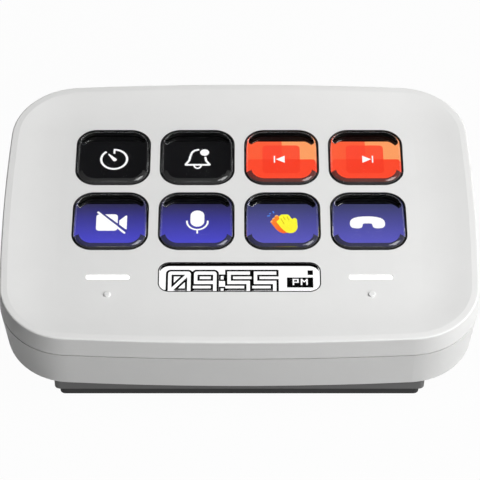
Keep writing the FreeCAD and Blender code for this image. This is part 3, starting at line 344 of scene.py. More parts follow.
def surface(name, tint, roughness=0.5, spread=0.06, grain=6000.0, bump=0.25, cloud=0.03, **shader):
    """A solid finish: pigment with a faint unevenness, fine grain in its roughness and a bump."""
    made = bpy.data.materials.get(name)
    if made:
        return made
    made = bpy.data.materials.new(name)
    made.use_nodes = True
    tree = made.node_tree
    principled = tree.nodes["Principled BSDF"]
    tone = placed_group(tree, "Pigment Tone", Colour=tint, Amount=cloud, Scale=grain * 0.02)
    tree.links.new(tone.outputs["Colour"], principled.inputs["Base Color"])
    texture = placed_group(tree, "Surface Grain", Scale=grain, Roughness=roughness, Spread=spread)
    tree.links.new(texture.outputs["Roughness"], principled.inputs["Roughness"])
    relief = node(tree, "ShaderNodeBump", Strength=bump, Distance=0.00003)
    tree.links.new(texture.outputs["Height"], relief.inputs["Height"])
    tree.links.new(relief.outputs["Normal"], principled.inputs["Normal"])
    for key, value in shader.items():
        principled.inputs[key.replace("_", " ")].default_value = value
    return made


def clear(name, tint, polish=0.006, through=1.0):
    """Polished clear acrylic, with a faint unevenness from polishing."""
    made = bpy.data.materials.get(name)
    if made:
        return made
    made = bpy.data.materials.new(name)
    made.use_nodes = True
    tree = made.node_tree
    principled = tree.nodes["Principled BSDF"]
    principled.inputs["Base Color"].default_value = tint
    principled.inputs["Transmission Weight"].default_value = through
    principled.inputs["IOR"].default_value = 1.49
    texture = placed_group(tree, "Surface Grain", Scale=900.0, Roughness=polish, Spread=polish)
    tree.links.new(texture.outputs["Roughness"], principled.inputs["Roughness"])
    return made


def glow(name, top, foot=None, strength=1.13, rows=0.03):
    """A lit part of a picture: one colour or a fade, with the rows of the display."""
    made = bpy.data.materials.get(name)
    if made:
        return made
    made = bpy.data.materials.new(name)
    made.use_nodes = True
    tree = made.node_tree
    principled = tree.nodes["Principled BSDF"]
    principled.inputs["Base Color"].default_value = (0.004, 0.004, 0.004, 1.0)
    principled.inputs["Roughness"].default_value = 0.5
    principled.inputs["Specular IOR Level"].default_value = 0.1
    principled.inputs["Emission Strength"].default_value = strength
    fade = placed_group(tree, "Picture Fade", Top=top, Foot=foot or top, Row_Depth=rows)
    tree.links.new(fade.outputs["Colour"], principled.inputs["Emission Color"])
    return made


def black_plastic():
    """The plastic of the rings, the carriers, the guide, the tray and the socket's tongue."""
    return surface("Black plastic", colours().black)


def edge_coat():
    """The dull paint on the hidden sides of the clear pieces."""
    return surface("Edge coat", colours().black, roughness=0.9, bump=0.0, Specular_IOR_Level=0.0)


def coat_sides(name, edge=None):
    """Coats a clear node's hidden upright sides. Edge finishes its rounding on the side of the user, darker,
    as painted shade.
    """
    target = NODES[name]
    target.data.materials.append(edge_coat())
    if edge:
        target.data.materials.append(edge)
    turned = FACE.to_3x3().inverted() @ target.matrix_world.to_3x3()
    for face in target.data.polygons:
        normal = (turned @ face.normal).normalized()
        upright = abs(normal.z) < UPRIGHT_RISE
        rounded = 0.0 < normal.z < FLAT_RISE
        to_user = normal.y < USER_SIDE * math.hypot(normal.x, normal.y)
        if upright:
            face.material_index = 1
        elif edge and rounded and to_user:
            face.material_index = 2


def wear(name, material):
    """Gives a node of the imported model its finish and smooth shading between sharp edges."""
    target = NODES[name]
    target.data.materials.clear()
    target.data.materials.append(material)
    for face in target.data.polygons:
        face.material_index = 0
    target.data.shade_smooth()
    target.data.set_sharp_from_angle(angle=math.radians(28.0))


def new_piece(name, data, place):
    """Puts a made mesh into the scene at its place."""
    piece = bpy.data.objects.new(name, data)
    bpy.context.collection.objects.link(piece)
    piece.matrix_world = place
    bpy.context.view_layer.update()
    return piece


# Flat shapes, in millimetres


def arc(x, y, across, up, start, end, steps):
    """Points along an ellipse's arc. Angles are degrees."""
    turns = [math.radians(start + (end - start) * k / steps) for k in range(steps + 1)]
    return [(x + across * math.cos(t), y + up * math.sin(t)) for t in turns]


def band(x, y, across, up, width, start, end, steps):
    """A bent strip along an ellipse's arc, as one short piece after another."""
    half = width / 2
    outer = arc(x, y, across + half, up + half, start, end, steps)
    inner = arc(x, y, across - half, up - half, start, end, steps)
    return [[outer[k], outer[k + 1], inner[k + 1], inner[k]] for k in range(steps)]


def rod(x0, y0, x1, y1, width, end_width=None):
    """A straight line with round ends. It may taper."""
    near, far = width / 2, (end_width if end_width is not None else width) / 2
    way = math.degrees(math.atan2(y1 - y0, x1 - x0))
    return arc(x0, y0, near, near, way + 90, way + 270, 10) + arc(x1, y1, far, far, way - 90, way + 90, 10)


def slab(x0, y0, x1, y1, radius=0.0):
    """A rectangle with rounded corners."""
    if radius <= 0.0:
        return [(x0, y0), (x1, y0), (x1, y1), (x0, y1)]
    points = []
    for cx, cy, start in (
        (x1 - radius, y0 + radius, -90), (x1 - radius, y1 - radius, 0),
        (x0 + radius, y1 - radius, 90), (x0 + radius, y0 + radius, 180),
    ):
        points += arc(cx, cy, radius, radius, start, start + 90, 6)
    return points


def tile_shape(half, foot, top):
    """A lit picture's outline: square at the top, where the key hides it, and rounded at the foot."""
    side, low = half - PICTURE_CORNER, foot + PICTURE_CORNER
    left = arc(-side, low, PICTURE_CORNER, PICTURE_CORNER, 180, 270, 10)
    right = arc(side, low, PICTURE_CORNER, PICTURE_CORNER, 270, 360, 10)
    return left + right + [(half, top), (-half, top)]


def shifted(shapes, dx, dy):
    """The same shapes, moved."""
    return [[(x + dx, y + dy) for x, y in points] for points in shapes]


class Print:
    """Flat shapes in layers on one plane of the face. Each layer has a material and a height."""

    def __init__(self, name, u, v, depth):
        self.name = name
        self.place = FACE @ Matrix.Translation(Vector((u, v, -depth)) * MM)
        self.mesh = bmesh.new()
        self.materials = []

    def layer(self, material, shapes, level):
        """Adds shapes as thin raised films. Level counts the layers under this one."""
        if material not in self.materials:
            self.materials.append(material)
        index = self.materials.index(material)
        top = sizes().ink_rise * (level + 1)
        for points in shapes:
            upper = [self.mesh.verts.new((x * MM, y * MM, top)) for x, y in points]
            lower = [self.mesh.verts.new((x * MM, y * MM, 0.0)) for x, y in points]
            faces = [self.mesh.faces.new(upper)]
            for k in range(len(points)):
                nxt = (k + 1) % len(points)
                faces.append(self.mesh.faces.new((upper[k], lower[k], lower[nxt], upper[nxt])))
            for face in faces:
                face.material_index = index

    def done(self):
        """Turns the shapes into a piece that stays with the housing."""
        bmesh.ops.triangulate(self.mesh, faces=[f for f in self.mesh.faces if len(f.verts) > 4])
        bmesh.ops.recalc_face_normals(self.mesh, faces=self.mesh.faces[:])
        data = bpy.data.meshes.new(self.name)
        self.mesh.to_mesh(data)
        self.mesh.free()
        for material in self.materials:
            data.materials.append(material)
        piece = new_piece(self.name, data, self.place)
        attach(piece, "housing")


# The pictures


def timer_shapes(width):
    """An open ring with a tick at the top and a hand that points to the upper left."""
    radius = 3.25 - width / 2
    ring = band(0.0, 0.0, radius, radius, width, 92, -232, 56)
    return ring + [slab(-width * 0.42, 1.75, width * 0.42, 3.2), rod(-1.28, 1.55, 0.12, -0.12, 0.3, 0.95)]


def bell_shapes(width):
    """A bell in outline, its clapper, and a dot at the upper right."""
    left = [(-2.75, -1.62), (-1.95, -0.35), (-1.72, 0.9), (-1.35, 2.1), (-0.75, 2.75), (0.1, 2.98)]
    right = [(2.75, -1.62), (1.95, -0.45), (1.78, 0.55)]
    shapes = [rod(*a, *b, width) for line in (left, right) for a, b in zip(line, line[1:])]
    shapes.append(rod(-2.72, -1.72, 2.72, -1.72, width))
    shapes += band(0.0, -1.95, 0.78, 0.85, width * 0.8, 180, 360, 20)
    shapes.append(arc(1.58, 2.12, 1.05, 1.02, 0, 360, 36)[:-1])
    return shapes


def camera_shapes():
    """A video camera without its slash: a rounded body and a lens hood."""
    body = slab(-3.47, -2.42, 1.4, 2.48, 0.75)
    hood = [(1.75, 0.62), (3.15, 2.05), (3.42, 2.15), (3.5, 2.0), (3.5, -1.85), (3.42, -2.0), (3.15, -1.9),
            (1.75, -0.72)]
    return [body, hood]


def microphone_shapes(width):
    """A capsule in a cradle on a stem."""
    capsule = slab(-1.57, -1.22, 1.57, 3.63, 1.55)
    cradle = band(0.0, 0.3, 2.35, 2.38, width, 180, 360, 36)
    ends = [rod(-2.35, 0.25, -2.35, 0.4, width), rod(2.35, 0.25, 2.35, 0.4, width)]
    return [capsule, slab(-0.2, -3.25, 0.2, -2.1, 0.1)] + cradle + ends


def skip_shapes(way):
    """A triangle and a bar. Way is -1 to point left and 1 to point right."""
    tip = [(0.52 * way, 0.0), (-1.5 * way, 1.1), (-1.5 * way, -1.1)]
    near, far = sorted((0.72 * way, 1.02 * way))
    return [tip, slab(near, -1.05, far, 1.05)]


def handset_shapes():
    """A telephone handset lying on its side, seen from the front."""
    right = [
        (0.0, 1.86), (1.0, 1.83), (2.0, 1.7), (2.9, 1.42), (3.5, 1.05), (3.88, 0.5), (3.99, -0.3),
        (3.9, -1.0), (3.5, -1.52), (2.7, -1.72), (1.9, -1.7), (1.4, -1.52), (1.15, -1.1), (1.08, -0.6),
        (0.94, -0.32), (0.6, -0.25),
    ]
    return [right + [(0.0, -0.22)] + [(-x, y) for x, y in reversed(right[1:])]]


def hand_shapes():
    """Two clapping hands that point to the upper left, seen from their side, and the sparks over them."""
    back = [
        (-2.66, 0.16), (-2.02, -0.92), (-1.35, -2.06), (-0.6, -2.81), (0.15, -3.19), (0.9, -3.09),
        (1.65, -3.0), (0.75, -0.74), (-0.3, 1.81), (-0.6, 1.76), (-0.9, 2.11), (-1.27, 2.25), (-1.65, 1.95),
        (-1.71, 1.48), (-2.09, 1.25), (-2.24, 0.87), (-2.53, 0.54),
    ]
    front = [
        (-1.27, 0.21), (-0.82, -0.64), (-0.3, -1.49), (0.3, -2.25), (1.05, -2.95), (1.65, -3.14),
        (2.32, -3.09), (2.88, -2.76), (3.29, -2.15), (3.5, -1.4), (3.44, -0.36), (3.38, 0.87), (3.1, 1.32),
        (2.69, 1.39), (2.36, 1.06), (2.09, 1.29), (1.8, 1.86), (1.46, 2.33), (1.05, 2.45), (0.67, 2.12),
        (0.3, 2.4), (-0.07, 2.42), (-0.49, 2.09), (-0.75, 1.67), (-0.6, 1.15), (-0.97, 0.63), (-1.23, 0.44),
    ]
    creases = [(-0.26, 1.2, 0.41, -0.36), (0.3, 1.67, 0.67, 0.87), (1.16, 1.72, 1.53, 0.77)]
    tips = [(-1.48, 1.98, -1.11, 2.09), (-2.08, 1.1, -1.8, 1.34), (-2.53, 0.21, -2.32, 0.42)]
    sparks = [(-2.0, 3.3, -1.88, 2.92), (-2.78, 2.66, -2.66, 2.74), (-3.25, 1.98, -2.83, 2.05)]
    groups = ((creases, 0.16), (tips, 0.3), (sparks, 0.32))
    lines = [[rod(*line, width) for line in group] for group, width in groups]
    return [back], [front], *lines


def square_shapes():
    """The square in an orange picture: whole, then its upper left and upper right quarters."""
    reach, corner = SQUARE_REACH, SQUARE_CORNER
    whole = slab(-reach, -reach, reach, reach, corner)
    left_bend = arc(-reach + corner, reach - corner, corner, corner, 90, 180, 6)
    right_bend = arc(reach - corner, reach - corner, corner, corner, 0, 90, 6)
    left = [(-reach, 0.0), (ORANGE_SPLIT, 0.0), (ORANGE_SPLIT, reach)] + left_bend
    right = [(ORANGE_SPLIT, 0.0), (reach, 0.0)] + right_bend + [(ORANGE_SPLIT, reach)]
    return [whole], [left], [right]


def print_pictures():
    """One lit picture under each key, drawn a little up the face so that it looks centred from the front."""
    size, tint = sizes(), colours()
    white = glow("Picture white", linear("#ffffff"), rows=0.01)
    dark = glow("Picture dark", linear("#0c0c0e"), rows=0.0)
    # Painted reflection: a dim grey-brown glow that stands for what shows in each key's rounded near lip
    sheen = glow("Painted lip reflection", linear("#4e4644"), rows=0.4)
    orange = glow("Orange", tint.orange)
    left = glow("Orange left quarter", tint.orange_left)
    right = glow("Orange right quarter", tint.orange_right)
    square_left = glow("Orange square left", linear("#fe4a32"))
    square_right = glow("Orange square right", linear("#fe5437"))
    square_foot = glow("Orange square foot", linear("#fa3f26"))
    violet = glow("Violet", tint.violet_top, tint.violet_foot)
    # Painted reflection: the right violet fade is a lighter, greyer copy of the left one
    reflecting_violet = glow("Violet with painted reflection", tint.reflecting_violet_top, tint.reflecting_violet_foot)
    slash_gap = glow("Slash gap", linear("#3b3a72"), linear("#403fa0"))
    yellow = glow("Hand yellow", linear("#ffff36"), linear("#ffee3a"))
    amber = glow("Hand amber", linear("#ffa02c"), linear("#ff4e2a"))
    crease = glow("Hand crease", linear("#e0b400"))
    pale = glow("Hand tips", linear("#ffc27a"))
    blue = glow("Spark blue", linear("#4d86e6"))
    half = size.tile_side / MM / 2
    top, foot = size.tile_top / MM, -size.tile_foot / MM
    rise = size.picture_centre / MM
    line = size.line_width / MM
    for number in range(1, 9):
        u, v = key_place(number)
        sheet = Print(f"key_picture_{number}", u, v, PICTURE_DEPTH)
        # A grey lit band reaching a little lower than the picture lies under it: painted reflection for the
        # key's near lip
        sheet.layer(sheen, [tile_shape(half, foot - SHEEN_DROP, top)], 0)
        tile = tile_shape(half, foot, top)
        if number <= 2:
            sheet.layer(dark, [tile], 1)
            shapes = timer_shapes(line) if number == 1 else bell_shapes(line)
            sheet.layer(white, shifted(shapes, 0.02, rise), 2)
        elif number <= 4:
            way = -1 if number == 3 else 1
            sheet.layer(orange, [tile], 1)
            sheet.layer(left, [slab(-half, rise, ORANGE_SPLIT, top)], 2)
            sheet.layer(right, [slab(ORANGE_SPLIT, rise, half, top)], 2)
            whole, upper_left, upper_right = square_shapes()
            sheet.layer(square_foot, shifted(whole, 0.0, rise), 3)
            sheet.layer(square_left, shifted(upper_left, 0.0, rise), 4)
            sheet.layer(square_right, shifted(upper_right, 0.0, rise), 4)
            sheet.layer(white, shifted(skip_shapes(way), 0.12 + 0.81 * way, rise), 5)
        elif number == 5:
            sheet.layer(violet, [tile], 1)
            sheet.layer(white, shifted(camera_shapes(), 0.06, rise), 2)
            sheet.layer(slash_gap, shifted([rod(-2.75, 3.25, 3.4, -2.5, 0.52)], 0.06, rise), 3)
            sheet.layer(white, shifted([rod(-3.1, 3.05, 3.0, -3.05, 0.5)], 0.06, rise), 4)
        elif number == 6:
            sheet.layer(violet, [tile], 1)
            sheet.layer(white, shifted(microphone_shapes(line * 0.8), 0.15, rise), 2)
        elif number == 7:
            back, front, creases, tips, sparks = hand_shapes()
            sheet.layer(reflecting_violet, [tile], 1)
            sheet.layer(amber, shifted(back, 0.0, rise), 2)
            sheet.layer(yellow, shifted(front, 0.0, rise), 3)
            sheet.layer(crease, shifted(creases, 0.0, rise), 4)
            sheet.layer(pale, shifted(tips, 0.0, rise), 4)
            sheet.layer(blue, shifted(sparks, 0.0, rise), 2)
        else:
            sheet.layer(reflecting_violet, [tile], 1)
            sheet.layer(white, shifted(handset_shapes(), -0.04, rise), 2)
        sheet.done()


# The clock


def strokes(lines, upright, level):
    """Strokes along straight runs. Upright and level ones have square ends and a width each."""
    shapes = []
    for x0, y0, x1, y1 in lines:
        if abs(x1 - x0) < 1e-6:
            low, high = sorted((y0, y1))
            shapes.append(slab(x0 - upright / 2, low - level / 2, x0 + upright / 2, high + level / 2))
        elif abs(y1 - y0) < 1e-6:
            low, high = sorted((x0, x1))
            shapes.append(slab(low - upright / 2, y0 - level / 2, high + upright / 2, y0 + level / 2))
        else:
            shapes.append(rod(x0, y0, x1, y1, upright))
    return shapes


def digit_runs(character, reach, upper, lower):
    """The middle lines of a block digit round its own middle. Its crossbar is at height 0."""
    outline = {
        "top": (-reach, upper, reach, upper),
        "left_top": (-reach, 0.0, -reach, upper),
        "right_top": (reach, 0.0, reach, upper),
        "middle": (-reach, 0.0, reach, 0.0),
        "left_foot": (-reach, lower, -reach, 0.0),
        "right_foot": (reach, lower, reach, 0.0),
        "foot": (-reach, lower, reach, lower),
        "slash": (-reach + 0.35, lower + 0.5, reach - 0.35, upper - 0.5),
    }
    chosen = {
        "0": ("top", "left_top", "right_top", "left_foot", "right_foot", "foot", "slash"),
        "5": ("top", "left_top", "middle", "right_foot", "foot"),
        "9": ("top", "left_top", "right_top", "middle", "right_foot", "foot"),
    }
    return [outline[name] for name in chosen[character]]


def rounded_corners(x0, y0, x1, y1, radius, edge, which):
    """Covers and line bends that round a block figure's corners. They count 0 to 3 from the lower right."""
    covers, bends = [], []
    places = ((x1, y0, 1, -1), (x1, y1, 1, 1), (x0, y1, -1, 1), (x0, y0, -1, -1))
    for index in which:
        x, y, across, up = places[index]
        cx, cy = x - across * radius, y - up * radius
        start = (270, 0, 90, 180)[index]
        more = 0.04
        tip = (x + across * more, y + up * more)
        covers.append([tip] + arc(cx, cy, radius, radius, start, start + 90, 8)[::-1])
        bends += band(cx, cy, radius - edge / 2, radius - edge / 2, edge, start, start + 90, 8)
    return covers, bends


def print_clock():
    """The digits of the clock, drawn as open block figures on its lit face."""
    size = sizes()
    ink = surface("Clock ink", linear("#020202"), roughness=0.7, bump=0.0, Specular_IOR_Level=0.05)
    paper = glow("Clock paper", linear("#ffffff"), strength=1.2, rows=0.01)
    sheet = Print("clock_digits", 0.0, 0.0, CLOCK_DEPTH)
    sheet.layer(paper, [slab(-17.75, -23.15, 17.75, -14.7, 1.6)], 0)
    stroke = size.digit_stroke / MM
    edge = size.digit_outline / MM
    level = stroke * 1.2
    reach, upper, lower = 2.12, 2.66, -2.66
    crossbar = CLOCK_CROSSBAR
    across = reach + stroke / 2 + edge
    up = upper + level / 2 + edge
    figures = (("0", -13.27, (1, 2)), ("9", -7.54, (1, 2)), ("5", -0.17, ()), ("5", 5.68, ()))
    for character, middle, round_at in figures:
        runs = digit_runs(character, reach, upper, lower)
        dark = strokes(runs, stroke + edge * 2, level + edge * 2)
        bright = strokes(runs, stroke, level)
        covers, bends = rounded_corners(-across, -up, across, up, CLOCK_CORNER, edge, round_at)
        sheet.layer(ink, shifted(dark, middle, crossbar), 1)
        sheet.layer(paper, shifted(bright, middle, crossbar), 2)
        sheet.layer(paper, shifted(covers, middle, crossbar), 3)
        sheet.layer(ink, shifted(bends, middle, crossbar), 4)
    for low in COLON_DOTS:
        sheet.layer(ink, [slab(-4.51, low, -3.1, low + 1.87, 0.1)], 1)
        sheet.layer(paper, [slab(-4.13, low + 0.45, -3.48, low + 1.4)], 2)
    afternoon_box = slab(10.5, -21.45, 16.3, -18.6)
    alarm_dot = slab(15.1, -17.85, 16.3, -16.56)
    sheet.layer(ink, [afternoon_box, alarm_dot], 1)
    letter_p = [
        slab(11.75, -20.75, 12.1, -19.0), slab(11.75, -19.3, 13.1, -19.0), slab(12.75, -19.95, 13.1, -19.0),
        slab(11.75, -20.1, 13.1, -19.8),
    ]
    letter_m = [
        slab(13.55, -20.75, 13.9, -19.0), slab(14.75, -20.75, 15.1, -19.0),
        rod(13.75, -19.15, 14.32, -19.85, 0.3), rod(14.9, -19.15, 14.32, -19.85, 0.3),
    ]
    sheet.layer(paper, letter_p + letter_m, 2)
    sheet.done()


# Moulded pieces made here


def ring_points(half, radius):
    """Points round a rounded square, in millimetres."""
    points = []
    for sx, sy, start in ((1, -1, -90), (1, 1, 0), (-1, 1, 90), (-1, -1, 180)):
        cx, cy = sx * (half - radius), sy * (half - radius)
        points += arc(cx, cy, radius, radius, start, start + 90, 7)
    return points


def make_collar(number):
    """A silicone spring collar: a foot, a thin bowed web and a head, swept round a rounded square."""
    profile = [
        (0.0, 4.9), (0.0, 4.72), (0.12, 4.62), (0.2, 4.4), (0.22, 4.1), (0.26, 3.86), (0.34, 3.76),
        (0.9, 3.76), (0.98, 3.86), (0.94, 4.02), (0.62, 4.2), (0.58, 4.45), (0.7, 4.62), (0.8, 4.72),
        (0.8, 4.9),
    ]
    mesh = bmesh.new()
    loops = []
    for inset, depth in profile:
        points = ring_points(COLLAR_SIDE / 2 - inset, COLLAR_CORNER - inset)
        loops.append([mesh.verts.new((x * MM, y * MM, (COLLAR_FOOT_DEPTH - depth) * MM)) for x, y in points])
    count = len(loops[0])
    for first, second in zip(loops, loops[1:] + loops[:1]):
        for k in range(count):
            nxt = (k + 1) % count
            mesh.faces.new((first[k], first[nxt], second[nxt], second[k]))
    bmesh.ops.recalc_face_normals(mesh, faces=mesh.faces[:])
    name = f"silicone_collar_{number}"
    data = bpy.data.meshes.new(name)
    mesh.to_mesh(data)
    mesh.free()
    data.shade_smooth()
    data.set_sharp_from_angle(angle=math.radians(60.0))
    data.materials.append(surface("Silicone", linear("#161616"), roughness=0.62, spread=0.05, grain=3000.0))
    u, v = key_place(number)
    piece = new_piece(name, data, FACE @ Matrix.Translation(Vector((u, v, -COLLAR_FOOT_DEPTH)) * MM))
    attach(piece, "housing")
    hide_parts(f"spring_collar_{number}")
    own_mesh(piece)


# Operators


class KEYPAD_OT_housing(bpy.types.Operator):
    """Finishes the two shells and their black rings, the wedge, the pad and the steel weight"""

    bl_idname = "keypad.housing"
    bl_label = "Finish Housing"

    def execute(self, context):
        tint = colours()
        shell = surface(
            "Housing plastic", tint.housing, roughness=0.6, grain=7000.0, bump=0.3, cloud=0.015,
            Specular_IOR_Level=0.25,
        )
        # The wedge's darker grey is partly painted shade under the housing's overhang
        wedge = surface("Wedge plastic with painted shade", tint.wedge, roughness=0.6, Specular_IOR_Level=0.25)
        # The pad's rubber is made darker still as painted shade under the wedge
        rubber = surface(
            "Pad rubber with painted shade", tint.rubber, roughness=0.8, grain=2500.0, bump=0.5, Specular_IOR_Level=0.4,
        )
        steel = surface("Steel plate", linear("#a3a5a8"), roughness=0.35, grain=1800.0, Metallic=1.0)
        wear("upper_shell", shell)
        wear("lower_shell", shell)
        wear("key_bezels", black_plastic())
        wear("window_bezel", black_plastic())
        wear("wedge_plinth", wedge)
        wear("foot_pad", rubber)
        wear("steel_weight", steel)
        return {"FINISHED"}


class KEYPAD_OT_keys(bpy.types.Operator):
    """Finishes the clear keys, their carriers, the guide and the contact board, and makes the collars"""

    bl_idname = "keypad.keys"
    bl_label = "Finish Keys"

    def execute(self, context):
        acrylic = clear("Clear acrylic", (0.97, 0.975, 0.975, 1.0))
        # Painted shade: only the rounding on the user's side is darkened, for the dark near lip of each key
        edge = clear("Near edge painted shade", (0.06, 0.06, 0.06, 1.0), polish=0.08, through=0.5)
        film = surface("Contact film", linear("#12161a"), roughness=0.5, grain=2500.0)
        for number in range(1, 9):
            wear(f"keycap_{number}", acrylic)
            coat_sides(f"keycap_{number}", edge)
            wear(f"key_carrier_{number}", black_plastic())
            make_collar(number)
        wear("key_guide", black_plastic())
        wear("contact_board", film)
        return {"FINISHED"}


class KEYPAD_OT_pictures(bpy.types.Operator):
    """Finishes the display and its backlight, and makes the lit picture under each key"""

    bl_idname = "keypad.pictures"
    bl_label = "Make Key Pictures"

    def execute(self, context):
        glass = surface("Display glass", linear("#0a0a0c"), roughness=0.2, grain=900.0, bump=0.0)
        wear("display_panel", glass)
        print_pictures()
        white = surface("Backlight sheet", linear("#f2f2f2"), roughness=0.4, grain=900.0, cloud=0.01)
        wear("backlight_sheets", white)
        wear("backlight_tray", black_plastic())
        return {"FINISHED"}


class KEYPAD_OT_clock(bpy.types.Operator):
    """Finishes the clock's lens and makes its digits"""

    bl_idname = "keypad.clock"
    bl_label = "Make Clock"

    def execute(self, context):
        glass = surface("Clock glass", linear("#0b0b0c"), roughness=0.3, grain=900.0)
        wear("clock_lens", clear("Clear lens", (0.98, 0.98, 0.98, 1.0)))
        coat_sides("clock_lens")
        wear("clock_display", glass)
        print_clock()
        return {"FINISHED"}


class KEYPAD_OT_lights(bpy.types.Operator):
    """Finishes the light bars, their lamps and the touch sensors"""

    bl_idname = "keypad.lights"
    bl_label = "Finish Light Bars"

    def execute(self, context):
        bar = surface(
            "Lit diffuser", linear("#f4f4f4"), roughness=0.45, grain=3000.0,
            Emission_Color=(1.0, 1.0, 1.0, 1.0), Emission_Strength=0.9,
        )
        copper = surface("Sensor copper", linear("#b87850"), roughness=0.35, grain=2000.0, Metallic=1.0)
        lamp = surface(
            "Lamp", linear("#fff6d8"), roughness=0.4, Emission_Color=(1.0, 0.97, 0.9, 1.0),
            Emission_Strength=2.0,
        )
        for side in ("left", "right"):
            wear(f"light_bar_{side}", bar)
            wear(f"touch_sensor_{side}", copper)
        wear("bar_lamps", lamp)
        return {"FINISHED"}


class KEYPAD_OT_electronics(bpy.types.Operator):
    """Finishes the boards, ribbons, connectors and the cable socket"""

    bl_idname = "keypad.electronics"
    bl_label = "Finish Electronics"

    def execute(self, context):
        board = surface("Circuit board", colours().board, roughness=0.4, grain=2000.0, cloud=0.25)
        chip = surface("Chip resin", linear("#1b1b1d"), roughness=0.55, grain=4000.0)
        film = surface("Ribbon film", linear("#b7782a"), roughness=0.35, grain=1500.0, cloud=0.1)
        block = surface("Connector block", linear("#ddd6c4"), roughness=0.5, grain=3000.0)
        tin = surface("Tinned steel", linear("#c6c7c9"), roughness=0.3, grain=1500.0, Metallic=1.0)
        wear("main_board", board)
        wear("front_board", board)
        wear("processor", chip)
        wear("board_parts", chip)
        wear("ribbon_connectors", block)
        for ribbon in ("display_ribbon", "key_ribbon", "front_ribbon"):
            wear(ribbon, film)
        wear("cable_socket", tin)
        wear("socket_tongue", black_plastic())
        return {"FINISHED"}


class KEYPAD_OT_screws(bpy.types.Operator):
    """Finishes the screws"""

    bl_idname = "keypad.screws"
    bl_label = "Finish Screws"

    def execute(self, context):
        steel = surface("Screw steel", linear("#8f9194"), roughness=0.32, grain=2600.0, Metallic=1.0)
        for group in ("housing", "plinth", "display", "front_board", "main_board"):
            wear(f"{group}_screws", steel)
        return {"FINISHED"}


def shown_white(tree, lit, share):
    """Blends plain white over a shader for camera, glossy and transmission rays, by a share."""
    path = node(tree, "ShaderNodeLightPath")
    seen = sums(tree, "MAXIMUM", path.outputs["Is Camera Ray"], path.outputs["Is Glossy Ray"])
    seen = sums(tree, "MAXIMUM", seen, path.outputs["Is Transmission Ray"])
    white = node(tree, "ShaderNodeEmission", Color=(1.0, 1.0, 1.0, 1.0), Strength=1.0)
    blend = node(tree, "ShaderNodeMixShader")
    tree.links.new(sums(tree, "MULTIPLY", seen, share), blend.inputs[0])
    tree.links.new(lit, blend.inputs[1])
    tree.links.new(white.outputs[0], blend.inputs[2])
    return blend.outputs[0]


def make_floor():
    """A wide pale floor that shows white and keeps a soft shadow."""
    mesh = bmesh.new()
    bmesh.ops.create_grid(mesh, x_segments=8, y_segments=8, size=3.0)
    data = bpy.data.meshes.new("studio_floor")
    mesh.to_mesh(data)
    mesh.free()
    floor = bpy.data.objects.new("studio_floor", data)
    floor.location = (0.0, 0.0, -0.00002)
    bpy.context.collection.objects.link(floor)
    material = surface("Studio floor", linear("#a6a6a6"), roughness=0.9, grain=400.0, bump=0.0, cloud=0.01)
    tree = material.node_tree
    output = tree.nodes["Material Output"]
    lit = tree.nodes["Principled BSDF"].outputs[0]
    tree.links.new(shown_white(tree, lit, FLOOR_WHITE), output.inputs["Surface"])
    data.materials.append(material)


def make_world():
    """A soft studio, brighter to the right and the front. It shows plain white behind the object."""
    world = bpy.data.worlds.new("Studio")
    bpy.context.scene.world = world
    world.use_nodes = True
    tree = world.node_tree
    tree.nodes.clear()
    place = node(tree, "ShaderNodeTexCoord")
    split = node(tree, "ShaderNodeSeparateXYZ")
    tree.links.new(place.outputs["Generated"], split.inputs[0])
    to_right = mapped(tree, split.outputs["X"], -1.0, 1.0, 0.05, 0.1)
    to_front = mapped(tree, split.outputs["Y"], -0.2, 0.75, 1.0, 0.12)
    strength = sums(tree, "MULTIPLY", to_right, to_front)
    studio = node(tree, "ShaderNodeBackground", Color=(1.0, 1.0, 1.0, 1.0))
    tree.links.new(strength, studio.inputs["Strength"])
    low = mapped(tree, split.outputs["Z"], 0.15, 0.35, 1.0, 0.0)
    path = node(tree, "ShaderNodeLightPath")
    bent = sums(tree, "MAXIMUM", path.outputs["Is Glossy Ray"], path.outputs["Is Transmission Ray"])
    seen = sums(tree, "MAXIMUM", path.outputs["Is Camera Ray"], sums(tree, "MULTIPLY", bent, low))
    white = node(tree, "ShaderNodeBackground", Color=(1.0, 1.0, 1.0, 1.0), Strength=1.0)
    blend = node(tree, "ShaderNodeMixShader")
    tree.links.new(seen, blend.inputs[0])
    tree.links.new(studio.outputs[0], blend.inputs[1])
    tree.links.new(white.outputs[0], blend.inputs[2])
    output = node(tree, "ShaderNodeOutputWorld")
    tree.links.new(blend.outputs[0], output.inputs["Surface"])


def make_lamp(name, place, aim, side, power, mirrored=True):
    """A square soft light that faces a point. One that isn't mirrored is hidden from glossy rays only."""
    lamp = bpy.data.lights.new(name, "AREA")
    lamp.shape = "SQUARE"
    lamp.size = side
    lamp.energy = power
    body = bpy.data.objects.new(name, lamp)
    body.location = place
    body.rotation_euler = (Vector(aim) - Vector(place)).to_track_quat("-Z", "Y").to_euler()
    body.visible_glossy = mirrored
    bpy.context.collection.objects.link(body)


def make_camera():
    """The photograph's camera: a long lens that looks down at the face from the front."""
    data = bpy.data.cameras.new("photo_camera")
    data.sensor_width = 36.0
    data.lens = CAMERA_LENS
    data.shift_x = CAMERA_SHIFT
    data.clip_start = 0.01
    data.clip_end = 50.0
    back = Vector((0.0, -math.cos(CAMERA_DOWN), math.sin(CAMERA_DOWN)))
    camera = bpy.data.objects.new("photo_camera", data)
    camera.location = on_face(*CAMERA_AIM, 0.0) + back * CAMERA_AWAY
    camera.rotation_euler = (math.pi / 2 - CAMERA_DOWN, 0.0, 0.0)
    bpy.context.collection.objects.link(camera)
    bpy.context.scene.camera = camera


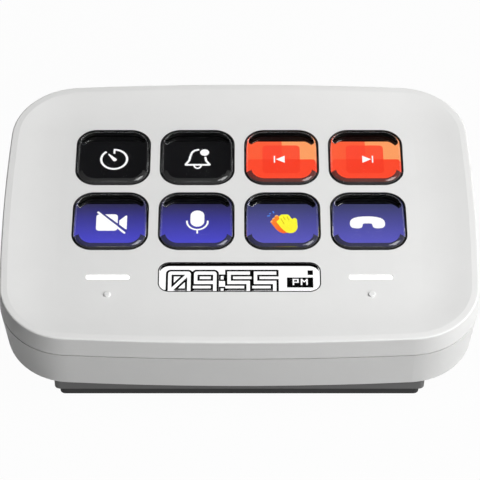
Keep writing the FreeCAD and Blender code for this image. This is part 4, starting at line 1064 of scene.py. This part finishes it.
class KEYPAD_OT_stage(bpy.types.Operator):
    """Makes the floor, the soft studio light and the camera"""

    bl_idname = "keypad.stage"
    bl_label = "Make Stage"

    def execute(self, context):
        make_floor()
        make_world()
        middle = (0.0, 0.0, 0.01)
        make_lamp("high_window", (0.55, -0.15, 1.05), middle, side=0.7, power=2.8)
        make_lamp("right_softbox", (0.31, -0.08, 0.5), (0.02, 0.0, 0.01), side=0.35, power=2.6)
        make_lamp("front_softbox", (0.575, -0.535, 0.28), middle, side=0.4, power=3.35, mirrored=False)
        make_lamp("left_spark", (-0.3, -0.42, 0.45), middle, side=0.05, power=0.07)
        make_camera()
        context.scene.view_settings.view_transform = "Standard"
        return {"FINISHED"}


class KEYPAD_PT_panel(bpy.types.Panel):
    """The keypad's pieces, one button each"""

    bl_idname = "KEYPAD_PT_panel"
    bl_label = "Macro Keypad"
    bl_space_type = "VIEW_3D"
    bl_region_type = "UI"
    bl_category = "Keypad"

    def draw(self, context):
        for maker in MAKERS:
            self.layout.operator(maker.bl_idname)


MAKERS = (
    KEYPAD_OT_housing,
    KEYPAD_OT_keys,
    KEYPAD_OT_pictures,
    KEYPAD_OT_clock,
    KEYPAD_OT_lights,
    KEYPAD_OT_electronics,
    KEYPAD_OT_screws,
    KEYPAD_OT_stage,
)
CLASSES = (KeypadSizes, KeypadColours) + MAKERS + (KEYPAD_PT_panel,)


def register():
    for cls in CLASSES:
        bpy.utils.register_class(cls)
    bpy.types.Scene.keypad_sizes = bpy.props.PointerProperty(type=KeypadSizes)
    bpy.types.Scene.keypad_colours = bpy.props.PointerProperty(type=KeypadColours)


def unregister():
    del bpy.types.Scene.keypad_sizes
    del bpy.types.Scene.keypad_colours
    for cls in reversed(CLASSES):
        bpy.utils.unregister_class(cls)


def main():
    register()
    bpy.ops.keypad.housing()
    bpy.ops.keypad.keys()
    bpy.ops.keypad.pictures()
    bpy.ops.keypad.clock()
    bpy.ops.keypad.lights()
    bpy.ops.keypad.electronics()
    bpy.ops.keypad.screws()
    bpy.ops.keypad.stage()


if __name__ == "__main__":
    main()
